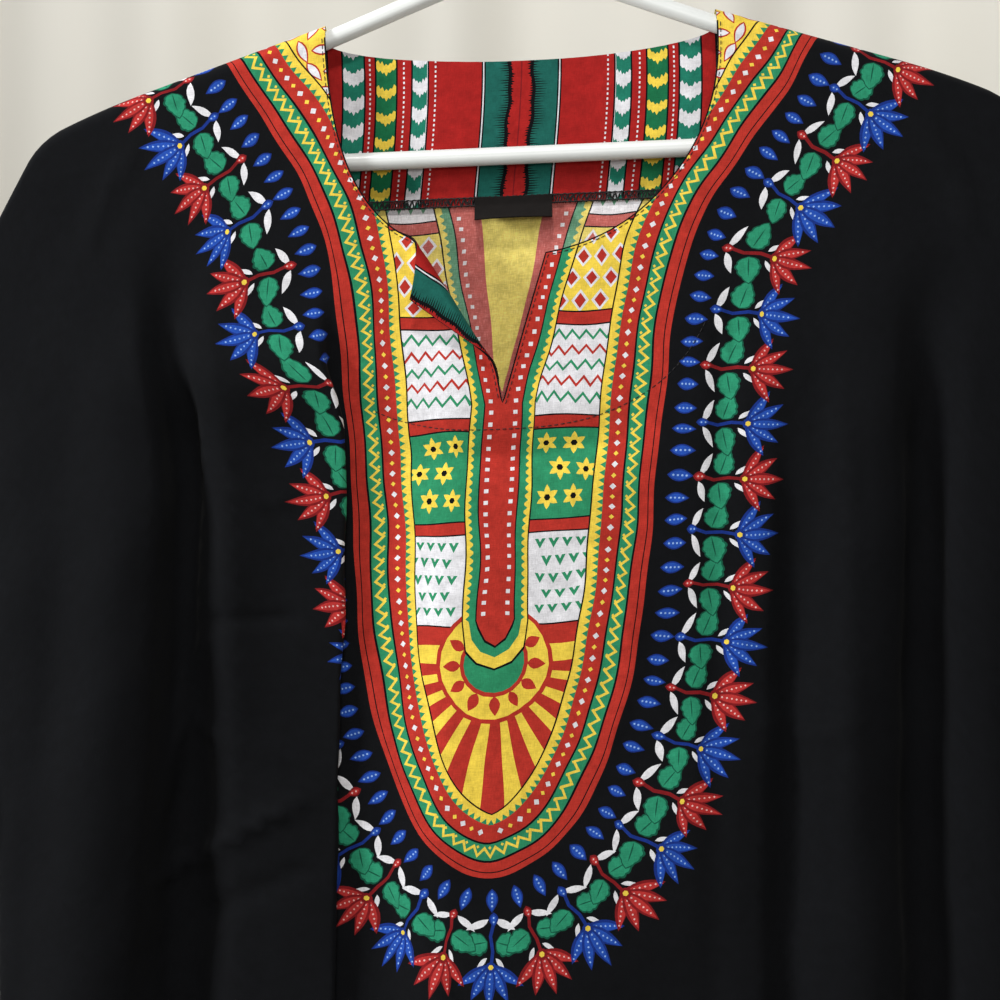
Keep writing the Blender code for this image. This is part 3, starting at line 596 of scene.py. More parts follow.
def cut_flat(outline, drawing, guides=(), grid=GRID):
    """Triangles of the flat outline, cut along every shape of the drawing and every guide line.

    The drawing is a list of (shape, colour number), the last on top. It all is in millimetres.
    Gives the flat points, the triangles and each triangle's colour number."""
    points, edges, faces = [], [], []
    for shape in [outline] + [shape for shape, _ in drawing]:
        most = PRINT_STEP if faces else OUTLINE_STEP
        shape = divided(turned_left(np.asarray(shape, float)), most)
        faces.append(list(range(len(points), len(points) + len(shape))))
        points += list(shape)
    for line in guides:
        edges += [(len(points) + k, len(points) + k + 1) for k in range(len(line) - 1)]
        points += list(line)
    low, high = outline.min(axis=0), outline.max(axis=0)
    us, ws = np.meshgrid(
        np.arange(low[0] + grid / 2, high[0], grid),
        np.arange(low[1] + grid / 2, high[1], grid * ROW_SHARE),
    )
    us[::2] += grid / 2
    points += list(np.stack([us.ravel(), ws.ravel()], -1))
    flat, _, triangles, _, _, within = delaunay_2d_cdt(
        [Vector(p) for p in points], edges, faces, 0, 1e-4
    )
    kept = [k for k, ids in enumerate(within) if 0 in ids and len(triangles[k]) == 3]
    numbers = np.array([0] + [number for _, number in drawing])
    colours = np.array([numbers[max(within[k])] for k in kept])
    used, triangles = np.unique(np.array([triangles[k] for k in kept]), return_inverse=True)
    return np.array([tuple(p) for p in flat])[used], triangles.reshape(-1, 3), colours


# Meshes


def linear(colour):
    """A colour of 0 to 255 as linear light."""
    share = np.asarray(colour, float) / 255
    return np.where(share < 0.04045, share / 12.92, ((share + 0.055) / 1.055) ** 2.4)


def put(name, data):
    """A new object of the scene."""
    made = bpy.data.objects.new(name, data)
    bpy.context.scene.collection.objects.link(made)
    return made


def grid_triangles(rows, columns):
    """Two triangles for every cell of a grid, as numbers of its points."""
    index = np.arange(rows * columns).reshape(rows, columns)
    a, b, c, d = index[:-1, :-1], index[:-1, 1:], index[1:, 1:], index[1:, :-1]
    return np.stack([a, b, c, a, c, d], -1).reshape(-1, 3)


def mesh_from(name, places, triangles, normals, finish, flat=None, colours=None, bake=None):
    """A triangle mesh with a normal, and perhaps a flat place and a colour, at every corner."""
    mesh = bpy.data.meshes.new(name)
    mesh.vertices.add(len(places))
    mesh.vertices.foreach_set("co", np.asarray(places, np.float32).ravel())
    mesh.loops.add(triangles.size)
    mesh.loops.foreach_set("vertex_index", triangles.astype(np.int32).ravel())
    mesh.polygons.add(len(triangles))
    mesh.polygons.foreach_set("loop_start", np.arange(0, triangles.size, 3, dtype=np.int32))
    mesh.update(calc_edges=True)
    mesh.polygons.foreach_set("use_smooth", np.ones(len(triangles), bool))
    for layer, places_on in (("OFBake", bake), ("flat", flat)):
        if places_on is not None:
            made = mesh.uv_layers.new(name=layer)
            made.data.foreach_set("uv", places_on.astype(np.float32).ravel())
    if colours is not None:
        made = mesh.color_attributes.new("print", "FLOAT_COLOR", "CORNER")
        made.data.foreach_set("color", colours.astype(np.float32).ravel())
    mesh.normals_split_custom_set(normals.reshape(-1, 3))
    mesh.materials.append(finish)
    return put(name, mesh)


def edge_lines(triangles):
    """The mesh's open edges, each in its triangle's own order."""
    ends = np.concatenate([triangles[:, [0, 1]], triangles[:, [1, 2]], triangles[:, [2, 0]]])
    keys = np.sort(ends, axis=1)
    _, first, count = np.unique(keys, axis=0, return_index=True, return_counts=True)
    return ends[first[count == 1]]


def wall(name, near, far, finish, flat, colours, edge, bake, thick=CLOTH):
    """A thin wall of cloth. near and far are its printed side and its reverse, each as places,
    outward unit normals and triangles of the middle surface. flat gives each corner's flat place
    and colours each triangle's colour, for both sides. A colour's fourth value is 1 on the
    printed side and 0 on the other. The reverse may be cut more coarsely, and then the edge
    follows the near side."""
    places, normals, triangles = near
    far_places, far_normals, far_triangles = far
    rim = edge_lines(triangles)
    a, b = rim.T
    sideways = unit(np.cross(places[b] - places[a], normals[a]))
    below = len(places) + np.arange(len(places))
    layers = [places + normals * thick / 2]
    if near is not far:
        on_edge = np.unique(rim)
        below[on_edge] = len(places) + np.arange(len(on_edge))
        layers.append(places[on_edge] - normals[on_edge] * thick / 2)
    far_start = sum(map(len, layers))
    layers.append(far_places - far_normals * thick / 2)
    far_triangles = far_triangles[:, ::-1]
    edge_faces = np.concatenate(
        [np.stack([b, a, below[a]], 1), np.stack([b, below[a], below[b]], 1)]
    )
    edge_normals = np.repeat(np.concatenate([sideways, sideways])[:, None], 3, axis=1)
    of_vertex = np.zeros((len(places), 2))
    of_vertex[triangles.ravel()] = flat[0].reshape(-1, 2)
    rim_flat = of_vertex[np.concatenate([np.stack([b, a, a], 1), np.stack([b, a, b], 1)])]
    parts = (triangles, far_triangles + far_start, edge_faces)
    filled = [
        np.broadcast_to(np.reshape(colour, (-1, 1, 4)), (len(part), 3, 4))
        for colour, part in zip((*colours, edge), parts)
    ]
    far_flat = flat[1][:, ::-1]
    return mesh_from(
        name, np.concatenate(layers), np.concatenate(parts),
        np.concatenate([normals[triangles], -far_normals[far_triangles], edge_normals]),
        finish,
        np.concatenate([flat[0], far_flat, rim_flat]),
        np.concatenate(filled),
        np.concatenate([bake(flat[0])[0], bake(far_flat)[1], bake(rim_flat)[1]]),
    )


# A rod's rounded end: how far it reaches and how wide it is, as shares of the rod's radius
CAP_REACH = 0.7
CAP_WIDTH = 0.45


def joined_tubes(name, lines, radius, finish, sides=6, cap=True):
    """Thin rods along lines of places, in one mesh. Each line is an array of places."""
    places, faces, normals = [], [], []
    count = 0
    turn = np.linspace(0, 2 * math.pi, sides, endpoint=False)[None, :, None]
    for line in lines:
        way = unit(np.gradient(line, axis=0))
        guide = (0.0, 1.0, 0.0) if abs(way[0][1]) < 0.9 else (1.0, 0.0, 0.0)
        side = unit(np.cross(way, guide))
        around = np.cos(turn) * side[:, None] + np.sin(turn) * np.cross(side, way)[:, None]
        rows = line[:, None] + around * radius
        if cap:
            first = line[0] + (around[0] * CAP_WIDTH - way[0] * CAP_REACH) * radius
            last = line[-1] + (around[-1] * CAP_WIDTH + way[-1] * CAP_REACH) * radius
            rows = np.concatenate([first[None], rows, last[None]])
            around = np.concatenate([around[:1] - way[0], around, around[-1:] + way[-1]])
        grid = grid_triangles(len(rows), sides + 1)
        row, column = grid // (sides + 1), grid % (sides + 1) % sides
        faces.append((count + row * sides + column)[:, ::-1])
        ring = np.arange(sides)
        fan = np.stack([0 * ring[2:], ring[1:-1], ring[2:]], -1)
        faces += [count + fan, count + len(rows) * sides - 1 - fan]
        places.append(rows.reshape(-1, 3))
        normals.append(around.reshape(-1, 3))
        count += len(rows) * sides
    faces, normals = np.concatenate(faces), unit(np.concatenate(normals))
    return mesh_from(name, np.concatenate(places), faces, normals[faces], finish)


# Colours of the cloth, 0 to 255

COLOURS = {
    "black": (11, 12, 15), "red": (183, 51, 41), "green": (46, 140, 98), "yellow": (242, 210, 78),
    "white": (228, 227, 231), "blue": (37, 79, 174), "leaf": (44, 144, 108), "teal": (30, 98, 88),
    "facing red": (168, 34, 32), "deep blue": (24, 50, 130), "pale blue": (150, 182, 232),
    "flower red": (186, 52, 50), "deep red": (128, 26, 30), "pale red": (236, 190, 186),
    "deep leaf": (20, 88, 66), "ikat green": (34, 122, 100), "deep green": (28, 112, 72),
}
PALETTE = np.concatenate([linear(list(COLOURS.values())), np.ones((len(COLOURS), 1))], axis=1)
K, R, G, Y, W, B, L, T, F = range(9)
DEEP_BLUE, PALE_BLUE, FLOWER_RED, DEEP_RED, PALE_RED, DEEP_LEAF, E, D = range(9, 17)

# The reverse: each colour faded towards this one, partly the print's real fading and partly painted
# light, and the black a little lighter
FADE_AND_PAINTED_LIGHT = linear((214, 204, 196))
FADE_AND_PAINTED_LIGHT_SHARE = 0.20
# Painted light: the reverse's colours are lifted paler than fading alone would make them, standing
# in for light that shines through the thin cloth.
REVERSE_FADED_AND_PAINTED_LIGHT = np.minimum(PALETTE, 1 - FADE_AND_PAINTED_LIGHT_SHARE)
REVERSE_FADED_AND_PAINTED_LIGHT[:, :3] += FADE_AND_PAINTED_LIGHT * FADE_AND_PAINTED_LIGHT_SHARE
REVERSE_FADED_AND_PAINTED_LIGHT[K, :3] = linear((24, 24, 26))
REVERSE_FADED_AND_PAINTED_LIGHT[:, 3] = 0


# Outlines and guide lines, in flat millimetres


def shoulder_mm(u):
    return 1000 * float(flat_shoulder(u))


def mirrored(half, closed=False):
    """The right half of a line and then its left half, as one line."""
    half = np.asarray(half)
    return np.concatenate([half, (half * (-1, 1))[-2 : 0 if closed else None : -1]])


def neck_edge(front, count=56):
    """The neckline from its upright top on the right to the slit, or to the centre line."""
    if front:
        depth, roundness, inner = FRONT_NECK_DEPTH, NECK_ROUNDNESS, SLIT_HALF
    else:
        depth, roundness, inner = BACK_NECK_DEPTH, BACK_ROUNDNESS, 0.0
    start = math.acos((inner / NECK_HALF) ** (roundness / 2))
    us = NECK_HALF * np.cos(start * np.linspace(0, 1, count + 1)) ** (2 / roundness)
    return 1000 * np.stack([us, neckline(depth, roundness, us)], -1)


def half_neck(front):
    """The right half of the neck's edge, with the slit's."""
    neck = neck_edge(front)
    if not front:
        return neck
    return np.concatenate([neck, divided([neck[-1], (0.0, 1000 * SLIT_END)], 2.0, False)[1:]])


def panel_outline(front):
    """The outline of the front or the back, the right half and then the left."""
    corners = [(0.0, LENGTH), (CHEST_HALF, LENGTH), (CHEST_HALF, SHOULDER_END), (NECK_HALF, 0.0)]
    sides = divided(1000 * np.array(corners), 6.0, closed=False)
    return mirrored(np.concatenate([sides, half_neck(front)]), closed=True)


def wrap_guides():
    """Lines beside the shoulder seams, where the cloth turns over the hanger's tube."""
    return [
        divided([(side * 1000 * u, shoulder_mm(u) + 1000 * QUARTER_WRAP * k / 6)
                 for u in (NECK_HALF, CHEST_HALF)], 5.0, closed=False)
        for side in (-1, 1) for k in range(1, 7)
    ]


def corner_guides():
    """Lines along the turned-out corner's fold."""
    reaches = [FLAP_TOWARDS * FLAP_RADIUS * FLAP_TURN * k / 8 for k in range(9)]
    fold = np.array([FLAP_TOP, FLAP_END])
    return [1000 * divided(fold + reach, 0.003, closed=False) for reach in reaches]


def fold_guides():
    """Lines along the overlapped fold's two turns."""
    w = np.arange(0.126, LENGTH, 0.007)
    lines = []
    for turned_in in np.linspace(0, math.pi * TUCK_RADIUS, 8):
        for past in (turned_in, tuck_length(w) - turned_in):
            lines.append(1000 * np.stack([tuck_start(w) - past, w], -1))
    return lines


STITCH_STEP = 1.5
STITCH_INSET = 1.6
FACING_STITCH_INSET = 1.5
FACING_STITCHED_FROM = 150
SLIT_TACK = 2.4


def stitched_beside(line):
    line = divided(line, STITCH_STEP, closed=False)
    return line - left_of(line) * STITCH_INSET


def front_stitch_lines():
    """Where the front's neck and slit are stitched, on the right and on the left."""
    curve, end = neck_edge(True), np.array([0.0, 1000 * SLIT_END])
    corner = curve[-1]
    scoop, slit = stitched_beside(curve), stitched_beside([corner, end])
    slit = slit[slit[:, 0] > 0.2]
    left = np.concatenate([scoop[scoop[:, 0] > corner[0] + 0.8], slit[1:]])
    right = np.concatenate([left, [[0.0, end[1] + SLIT_TACK]]])
    return [divided(line, STITCH_STEP, False) for line in (right, left * (-1, 1))]


def facing_stitch_line():
    """Where the front facing is stitched down along its lower edge, from left to right."""
    reach = 1000 * FACING_REACH - FACING_STITCH_INSET
    u = np.linspace(-reach, reach, 321)
    w = 1000 * front_facing_end(u * MM) - FACING_STITCH_INSET
    return divided(np.stack([u, w], -1)[w > FACING_STITCHED_FROM], STITCH_STEP, False)


# Threads


# One stitch: how far apart the stitches are, how long each is, and how its thread rises
STITCH_PITCH = 3.0
STITCH_LENGTH = 2.2
STITCH_RISE = 0.00022 * np.array([-1.2, 0.55, 0.9, 0.55, -1.2])

# The overlocked edge: where its zigzags begin and their pitch, how far in from the edge and how
# high over the cloth their turns lie, and where its two holding threads run and wander
ZIGZAGS = ((0.0, 0.62), (0.9, 0.71))
ZIGZAG_IN = (-0.08, 0.55, 1.0, 0.42)
ZIGZAG_HIGH = (0.0003, -0.0003, -0.0002, -0.0003)
HOLDING = ((0.92, 0.18), (0.05, 0.12))
HOLDING_HIGH = -0.00035


def stitches(panel, line):
    """Short threads along a flat line in millimetres, as lines of places."""
    run = lengths_along(line)
    starts = np.arange(0.5, run[-1] - STITCH_LENGTH, STITCH_PITCH)
    at = starts[:, None] + np.linspace(0, STITCH_LENGTH, len(STITCH_RISE))
    height = CLOTH / 2 + STITCH_RISE[:, None]
    return list(panel.places(read_along(line, run, at) * MM, height)[0])


def overlock(panel, line, depth, out):
    """Loops of thread over a raw edge: two dense zigzags and the threads that hold them."""
    run = lengths_along(line)
    made = []
    for k, (begin, pitch) in enumerate(ZIGZAGS):
        at = np.arange(begin, run[-1], pitch)
        step = np.arange(len(at)) % 4
        chance = np.random.default_rng(8 + k)
        flat = read_along(line, run, at)
        flat[:, 1] -= np.choose(step, ZIGZAG_IN) * depth * chance.uniform(0.84, 1.1, len(at))
        height = out + (1 + 0.3 * k) * np.choose(step, ZIGZAG_HIGH)
        made.append(panel.places(flat * MM, height[:, None])[0])
    for rise, wander in HOLDING:
        at = np.arange(0.5, run[-1], 1.0)
        flat = read_along(line, run, at)
        flat[:, 1] -= depth * rise + wander * np.sin(at * 2.1)
        made.append(panel.places(flat * MM, out + HOLDING_HIGH)[0])
    return made


# Panels and facings


# A piece's own sheet: the size and the corner of the face on it, and of the reverse beside it
BAKED_FACE = ((0.80, 0.98), (0.01, 0.01))
BAKED_REVERSE = ((0.17, 0.30), (0.825, 0.01))


def panel_bake(low, high):
    """Where flat places go on a piece's own sheet, for its face and for its reverse."""

    def place(flat):
        share = (flat - low) / (high - low)
        return [share * size + corner for size, corner in (BAKED_FACE, BAKED_REVERSE)]

    return place


# The part of the back's reverse that is seen through the neck, and the least sizes cut elsewhere
SEEN_HALF = 72
SEEN_LEVELS = (78, 215)
BROAD = 7
LONG = 60


def on_the_reverse(drawing, seen):
    """The shapes that are worth cutting on the reverse."""
    kept = []
    for shape, colour in drawing:
        u, w = shape.mean(axis=0)
        size = np.ptp(shape, axis=0)
        by_neck = seen and abs(u) < SEEN_HALF and SEEN_LEVELS[0] < w < SEEN_LEVELS[1]
        if by_neck or min(size) > BROAD or max(size) > LONG:
            kept.append((shape, colour))
    return kept


def cut_side(panel, outline, drawing, guides, grid=GRID, sunk=None):
    """One side of a piece: its wall side, its corners' flat places and its colour numbers."""
    flat, triangles, numbers = cut_flat(outline, drawing, guides, grid)
    places, normals = panel.places(flat * MM, -sunk(flat) if sunk else 0.0)
    if panel.front:
        triangles = triangles[:, ::-1]
    return (places, normals, triangles), flat[triangles] * MM, numbers


def build_panel(name, panel, outline, drawing, guides, finish):
    reverse = on_the_reverse(drawing, not panel.front)
    sides, corners, numbers = zip(
        *(cut_side(panel, outline, shapes, guides) for shapes in (drawing, reverse))
    )
    # The reverse side is faded print with painted light lifting its colours paler.
    return wall(
        name, *sides, finish, corners, (PALETTE[numbers[0]], REVERSE_FADED_AND_PAINTED_LIGHT[numbers[1]]), PALETTE[K],
        panel_bake(outline.min(axis=0) * MM, outline.max(axis=0) * MM),
    )


def build_facing(name, panel, outline, drawing, guides, finish):
    edge = mirrored(half_neck(panel.front)) * MM

    def sunk(flat):
        away = np.min(np.linalg.norm(flat[:, None] * MM - edge[None], axis=2), axis=1)
        deeper = (FACING_INSIDE - FACING_AT_EDGE) * smooth(0.001, 0.008, away)
        return FACING_AT_EDGE + deeper[:, None]

    side, corner, numbers = cut_side(panel, outline, drawing, guides, FACING_GRID, sunk)
    whole = panel_bake(outline.min(axis=0) * MM, outline.max(axis=0) * MM)
    # The side towards the panel is faded print with painted light lifting its colours paler.
    return wall(
        name, side, side, finish, (corner, corner), (REVERSE_FADED_AND_PAINTED_LIGHT[numbers], PALETTE[numbers]),
        PALETTE[K], lambda flat: whole(flat)[::-1],
    )


def front_facing_end(u):
    """w of the front facing's lower edge at u. It stops above the overlapped fold."""
    share = np.clip(np.abs(u) / FACING_REACH, 0, 1) ** FRONT_FACING_ROUNDNESS
    rounded = (FRONT_FACING_END - FRONT_FACING_SIDE) * (1 - share) ** (1 / FRONT_FACING_ROUNDNESS)
    end = FRONT_FACING_SIDE + rounded
    return np.where(u < TUCK_AT + FACING_OFF_TUCK, np.minimum(end, TUCK_LEVELS[0]), end)


def front_facing_outline():
    us = np.linspace(0, FACING_REACH, 36)
    halves = []
    for side in (1, -1):
        lower = 1000 * np.stack([side * us, front_facing_end(side * us)], -1)
        top = (side * 1000 * FACING_REACH, shoulder_mm(FACING_REACH))
        upright = divided([lower[-1], top], 4.0, False)[1:]
        halves.append(np.concatenate([lower, upright, half_neck(True) * (side, 1)]))
    return np.concatenate([halves[0], halves[1][-2:0:-1]])


def back_facing_outline():
    end, reach = 1000 * BACK_FACING_END, 1000 * FACING_REACH
    half = divided([(0.0, end), (reach, end), (reach, shoulder_mm(FACING_REACH))], 3.0, False)
    return mirrored(np.concatenate([half, half_neck(False)]), closed=True)


def stripes(low, high):
    """The striped facing cloth between two levels, as shapes and colour numbers."""
    d = Drawing()

    def band(start, end, colour, mirror=True):
        d.fill(box(start, end, low, high), colour, mirror)

    def drift(w, side):
        return 1.3 * math.sin(w * 0.16 + side) + 0.8 * math.sin(w * 0.41)

    chance = np.random.default_rng(21)
    band(-110, 110, F, mirror=False)
    band(5.6, 17.0, T)
    count = int((high - low) / 1.15)
    levels = [low + (high - low) * k / count for k in range(count + 1)]
    for side in (-1, 1):
        comb = []
        for w in levels:
            near = 0.4 * drift(w, side)
            comb.append((side * (4.3 + near + chance.uniform(-1.2, 0.6)), w))
            comb.append((side * (5.0 + near + chance.uniform(-0.2, 0.2)), w + 0.45))
        for w in levels[::-1]:
            far = drift(w, side)
            comb.append((side * (6.4 + 0.4 * far), w + 0.8))
            comb.append((side * (10.4 + far + chance.uniform(-1.6, 1.6)), w + 0.45))
            comb.append((side * (6.4 + 0.4 * far), w + 0.1))
        d.fill(comb, K)
    band(-0.3, 0.3, DEEP_RED, mirror=False)
    for start, end, colour in (
        (17.0, 17.7, K), (17.7, 18.3, W), (18.3, 19.0, K), (43.9, 44.7, K), (44.7, 51.8, W),
        (51.8, 52.6, K), (59.0, 59.8, K), (59.8, 69.2, Y), (69.2, 70.0, K), (74.4, 75.2, K),
        (75.2, 85.0, W), (85.0, 85.8, K), (92.0, 97.0, K),
    ):
        band(start, end, colour)
    for start, end, pitch, shift, share, colour in (
        (44.9, 51.8, 13.0, 0, 0.62, E), (59.8, 69.2, 12.0, 4, 0.74, D),
        (75.2, 85.0, 13.0, 7, 0.62, E),
    ):
        across = np.linspace(start, end, 11)
        point = 2.6 * (1 - np.abs(2 * (across - start) / (end - start) - 1))
        jag = 1.1 * (np.arange(11) % 2)
        for w in np.arange(low - pitch + shift, high + pitch, pitch):
            top = w + point + jag * chance.uniform(0.6, 1.3, 11)
            under = w + pitch * share + point - jag * chance.uniform(0.6, 1.6, 11)
            edges = [np.stack([across, level], -1) for level in (top, under)]
            d.fill(np.concatenate([edges[0], edges[1][::-1]]), colour, True)
    for u in (41.0, 56.0, 72.3):
        for w in np.arange(low + 1.0, high, 2.3):
            d.fill(box(u - 0.4, u + 0.4, w - 0.55, w + 0.55), W, True)
    return d.shapes


def beside_slit(drawing):
    """The stripes moved out beside the slit, because the facing is slit along its own middle."""
    moved = []
    for shape, colour in drawing:
        shape = divided(shape, 4.0)
        share = (1000 * SLIT_END - shape[:, 1]) / (1000 * (SLIT_END - SLIT_CORNER[1]))
        out = np.maximum(1000 * SLIT_HALF * np.clip(share, 0, 1.6) - 3.5, 0)
        out *= smooth(0, 1.5, np.abs(shape[:, 0]))
        moved.append((shape + np.stack([np.sign(shape[:, 0]) * out, 0 * out], -1), colour))
    return moved


# Sleeves


def hung_armhole(front, back, side, count):
    """The hung edge of the armhole: from the shoulder down the back and up the front."""
    share = 0.5 - 0.5 * np.cos(np.linspace(0, math.pi, count + 1))
    w = SHOULDER_END + (UNDERARM - SHOULDER_END) * share
    u = side * CHEST_HALF + 0 * w
    down, up = back.place(u, w), front.place(u, w)
    down[[0, -1]] = (down[[0, -1]] + up[[0, -1]]) / 2
    return np.concatenate([down, up[-2:0:-1]])


def sleeve_surface(front, back, side, rings, count):
    """Places on the sleeve, ring after ring from the armhole to the cuff."""
    hole = hung_armhole(front, back, side, count) + np.array([side * SLEEVE_CLEARANCE, 0, 0])
    shoulder, underarm = hole[0], hole[count]
    height = (2 * hole[:, 2] - shoulder[2] - underarm[2]) / (shoulder[2] - underarm[2])
    turn = np.arccos(np.clip(height, -1, 1))
    turn[count + 1 :] *= -1
    made = []
    for share in np.linspace(0, 1, rings):
        pitch = math.radians(SLEEVE_PITCH[0] + (SLEEVE_PITCH[1] - SLEEVE_PITCH[0]) * share)
        reach = share * SLEEVE_LENGTH
        outer = shoulder + reach * np.array([side * math.cos(pitch), 0, -math.sin(pitch)])
        inner = underarm + share * np.array([side * UNDERARM_RUN[0], 0, UNDERARM_RUN[1]])
        depth = ARMHOLE_OPENING + (CUFF_DEPTH - ARMHOLE_OPENING) * smooth(0, 0.8, share)
        wave = CUFF_WAVE_SIZE * smooth(0.15, 1, share) * np.cos(CUFF_WAVES * turn + 0.9 * side)
        round_ring = (outer + inner) / 2 + (outer - inner) / 2 * np.cos(turn)[:, None]
        round_ring[:, 1] += depth * np.sin(turn) * (1 + wave * np.sin(turn) ** 2)
        own = smooth(0, 0.25, share)
        follow = hole + (outer - shoulder) * ((1 + np.cos(turn)) / 2)[:, None]
        follow += (inner - underarm) * ((1 - np.cos(turn)) / 2)[:, None]
        made.append(follow * (1 - own) + round_ring * own)
    return np.array(made)


def sleeve_normals(places):
    across = np.roll(places, -1, axis=1) - np.roll(places, 1, axis=1)
    out = np.cross(across, np.gradient(places, axis=0))
    return unit(out * np.sign(np.sum(out * (places - places.mean(axis=1, keepdims=True)))))


SLEEVE_WAVES = (12, 0.05, 0.16)
SLEEVE_WAVE_HEIGHT = 0.00045
HEM_FROM = (0.905, 0.913)


def build_sleeve(name, drapes, side, finish, rings=72, half=48):
    middle = sleeve_surface(*drapes, side, rings, half)
    count = middle.shape[1]
    v, s = np.meshgrid(np.arange(count) / count, np.linspace(0, 1, rings))
    lift = sum(
        SLEEVE_WAVE_HEIGHT
        * np.sin(round(a * 0.075) * 2 * math.pi * v + b * SLEEVE_LENGTH * s + phase)
        for a, b, phase in rolling(5 + side, *SLEEVE_WAVES)
    )
    # The unevenness begins below the seam, and the cuff's hem is double
    lift = lift * smooth(0, 0.2, s) + CLOTH * smooth(*HEM_FROM, s)
    places = middle + sleeve_normals(middle) * lift[..., None]
    normals = sleeve_normals(places).reshape(-1, 3)
    girth = np.linalg.norm(np.diff(places[rings // 2], axis=0), axis=1).sum()
    around, along = np.meshgrid(np.arange(count + 1) / count, s[:, 0])
    flat = np.stack([around * girth, along * SLEEVE_LENGTH], -1).reshape(-1, 2)
    grid = grid_triangles(rings, count + 1)
    triangles = grid // (count + 1) * count + grid % (count + 1) % count
    corners = places.reshape(-1, 3)[triangles]
    crossed = np.cross(corners[:, 1] - corners[:, 0], corners[:, 2] - corners[:, 0])
    if np.sum(crossed * normals[triangles[:, 0]]) < 0:
        triangles, grid = triangles[:, ::-1], grid[:, ::-1]
    wall_side = (tilted(places.reshape(-1, 3)), tilted(normals, 0), triangles)
    made = wall(
        name, wall_side, wall_side, finish, (flat[grid], flat[grid]), (PALETTE[K], REVERSE_FADED_AND_PAINTED_LIGHT[K]),
        PALETTE[K], panel_bake(np.zeros(2), np.array([girth * 1.001, SLEEVE_LENGTH])),
    )
    return made, float(girth), float(np.linalg.norm(crossed, axis=1).sum() / 2)


# Label

LABEL_BLACK = (26, 23, 22)
LABEL_WALL = 0.0006
LABEL_CURL = 0.0016


def build_label(back, finish, columns=25, rows=16):
    across = np.linspace(-LABEL_WIDTH / 2, LABEL_WIDTH / 2, columns)
    across, reach = np.meshgrid(across, np.linspace(0, 1, rows) * (LABEL_HOLD + LABEL_DROP))
    held = np.stack([across, 0 * across + BACK_FACING_END - LABEL_HOLD], -1)
    starts = back.places(held, -FACING_INSIDE - 2 * CLOTH)[0]
    free = np.maximum(0.0, reach - LABEL_HOLD)[..., None]
    curl = LABEL_CURL * (free / LABEL_DROP) ** 2 * (1 - (2 * across / LABEL_WIDTH) ** 2)[..., None]
    places = (
        starts + np.minimum(reach, LABEL_HOLD)[..., None] * (0, 0, -1)
        + free * (0, -math.sin(LABEL_LEAN), -math.cos(LABEL_LEAN)) + curl * (0.0, -1.0, 0.3)
    )
    out = unit(np.cross(np.gradient(places, axis=0), np.gradient(places, axis=1)))
    side = (places.reshape(-1, 3), out.reshape(-1, 3), grid_triangles(rows, columns)[:, ::-1])
    at = np.stack([across, reach], -1).reshape(-1, 2)
    flat, dark = at[side[2]], np.append(linear(LABEL_BLACK), 1)
    return wall("label_cloth", side, side, finish, (flat, flat), (dark, dark), dark,
                panel_bake(at.min(axis=0), at.max(axis=0)), LABEL_WALL)


# Hanger


def smooth_path(points, most=0.004):
    """A finer line through the same points, rounded between them."""
    points = [np.asarray(p, float) for p in points]
    extended = [2 * points[0] - points[1]] + points + [2 * points[-1] - points[-2]]
    made = []
    for before, start, end, after in zip(extended, extended[1:], extended[2:], extended[3:]):
        length = np.linalg.norm(end - start)
        into, leave = [
            way / max(np.linalg.norm(way), 1e-9) * length for way in (end - before, after - start)
        ]
        count = max(1, math.ceil(length / most))
        for k in range(count):
            t = k / count
            made.append(
                (2 * t**3 - 3 * t**2 + 1) * start + (t**3 - 2 * t**2 + t) * into
                + (3 * t**2 - 2 * t**3) * end + (t**3 - t**2) * leave
            )
    return np.array(made + [points[-1]])


def build_hanger(finish):
    """The arms with the bar, and the hook."""
    bar_end, bar_z = HANGER_HALF - 2 * END_BEND, NECK_Z - BAR_BELOW_NECK
    lines = [smooth_path(arm_path(side), 0.003) for side in (-1, 1)]
    lines.append(divided([(-bar_end, 0, bar_z), (bar_end, 0, bar_z)], 0.02, closed=False))
    lines = [tilted(line) for line in lines]
    hook = [tilted(smooth_path(hook_path(), 0.0025))]
    return (joined_tubes("hanger", lines, TUBE_RADIUS, finish, sides=28),
            joined_tubes("hanger_hook_rod", hook, HOOK_TUBE_RADIUS, finish, sides=28))


# The print, in flat millimetres

EDGE_POINTS = (
    (152, -22), (141, 16), (120, 50), (99, 82), (85, 112), (77, 160), (73, 225), (68, 290),
    (56.5, 343), (34, 386), (0, 405),
)


def edge_half(out=0.0, step=3.0):
    """The print's edge from the middle of its lower end up its right side, moved out, as points
    and unit vectors that point out of it."""
    mirror = [(-EDGE_POINTS[-2][0], EDGE_POINTS[-2][1], 0)]
    line = smooth_path([(u, w, 0) for u, w in EDGE_POINTS] + mirror, 1.0)[:, :2]
    line = line[line[:, 0] >= -1e-6][::-1]
    line[0, 0] = 0
    outward = left_of(line)
    outward[0] = (0, 1)
    moved = line + outward * out
    run = lengths_along(moved)
    at = np.linspace(0, run[-1], max(2, round(run[-1] / step)) + 1)
    return read_along(moved, run, at), unit(read_along(outward, run, at))


def edge_whole(out):
    right = edge_half(out)[0]
    return mirrored(right[::-1])[::-1]


def leaf_shape(length, width, count=6, lean=0.0):
    """A pointed leaf from (0, 0) along +y."""
    share = np.linspace(0, 1, count + 1)
    half = width / 2 * np.sin(math.pi * share**0.85)
    bend = lean * np.sin(math.pi * share / 2) ** 2
    right, left = [np.stack([side * half + bend, share * length], -1) for side in (1, -1)]
    return np.concatenate([right, left[-2:0:-1]])


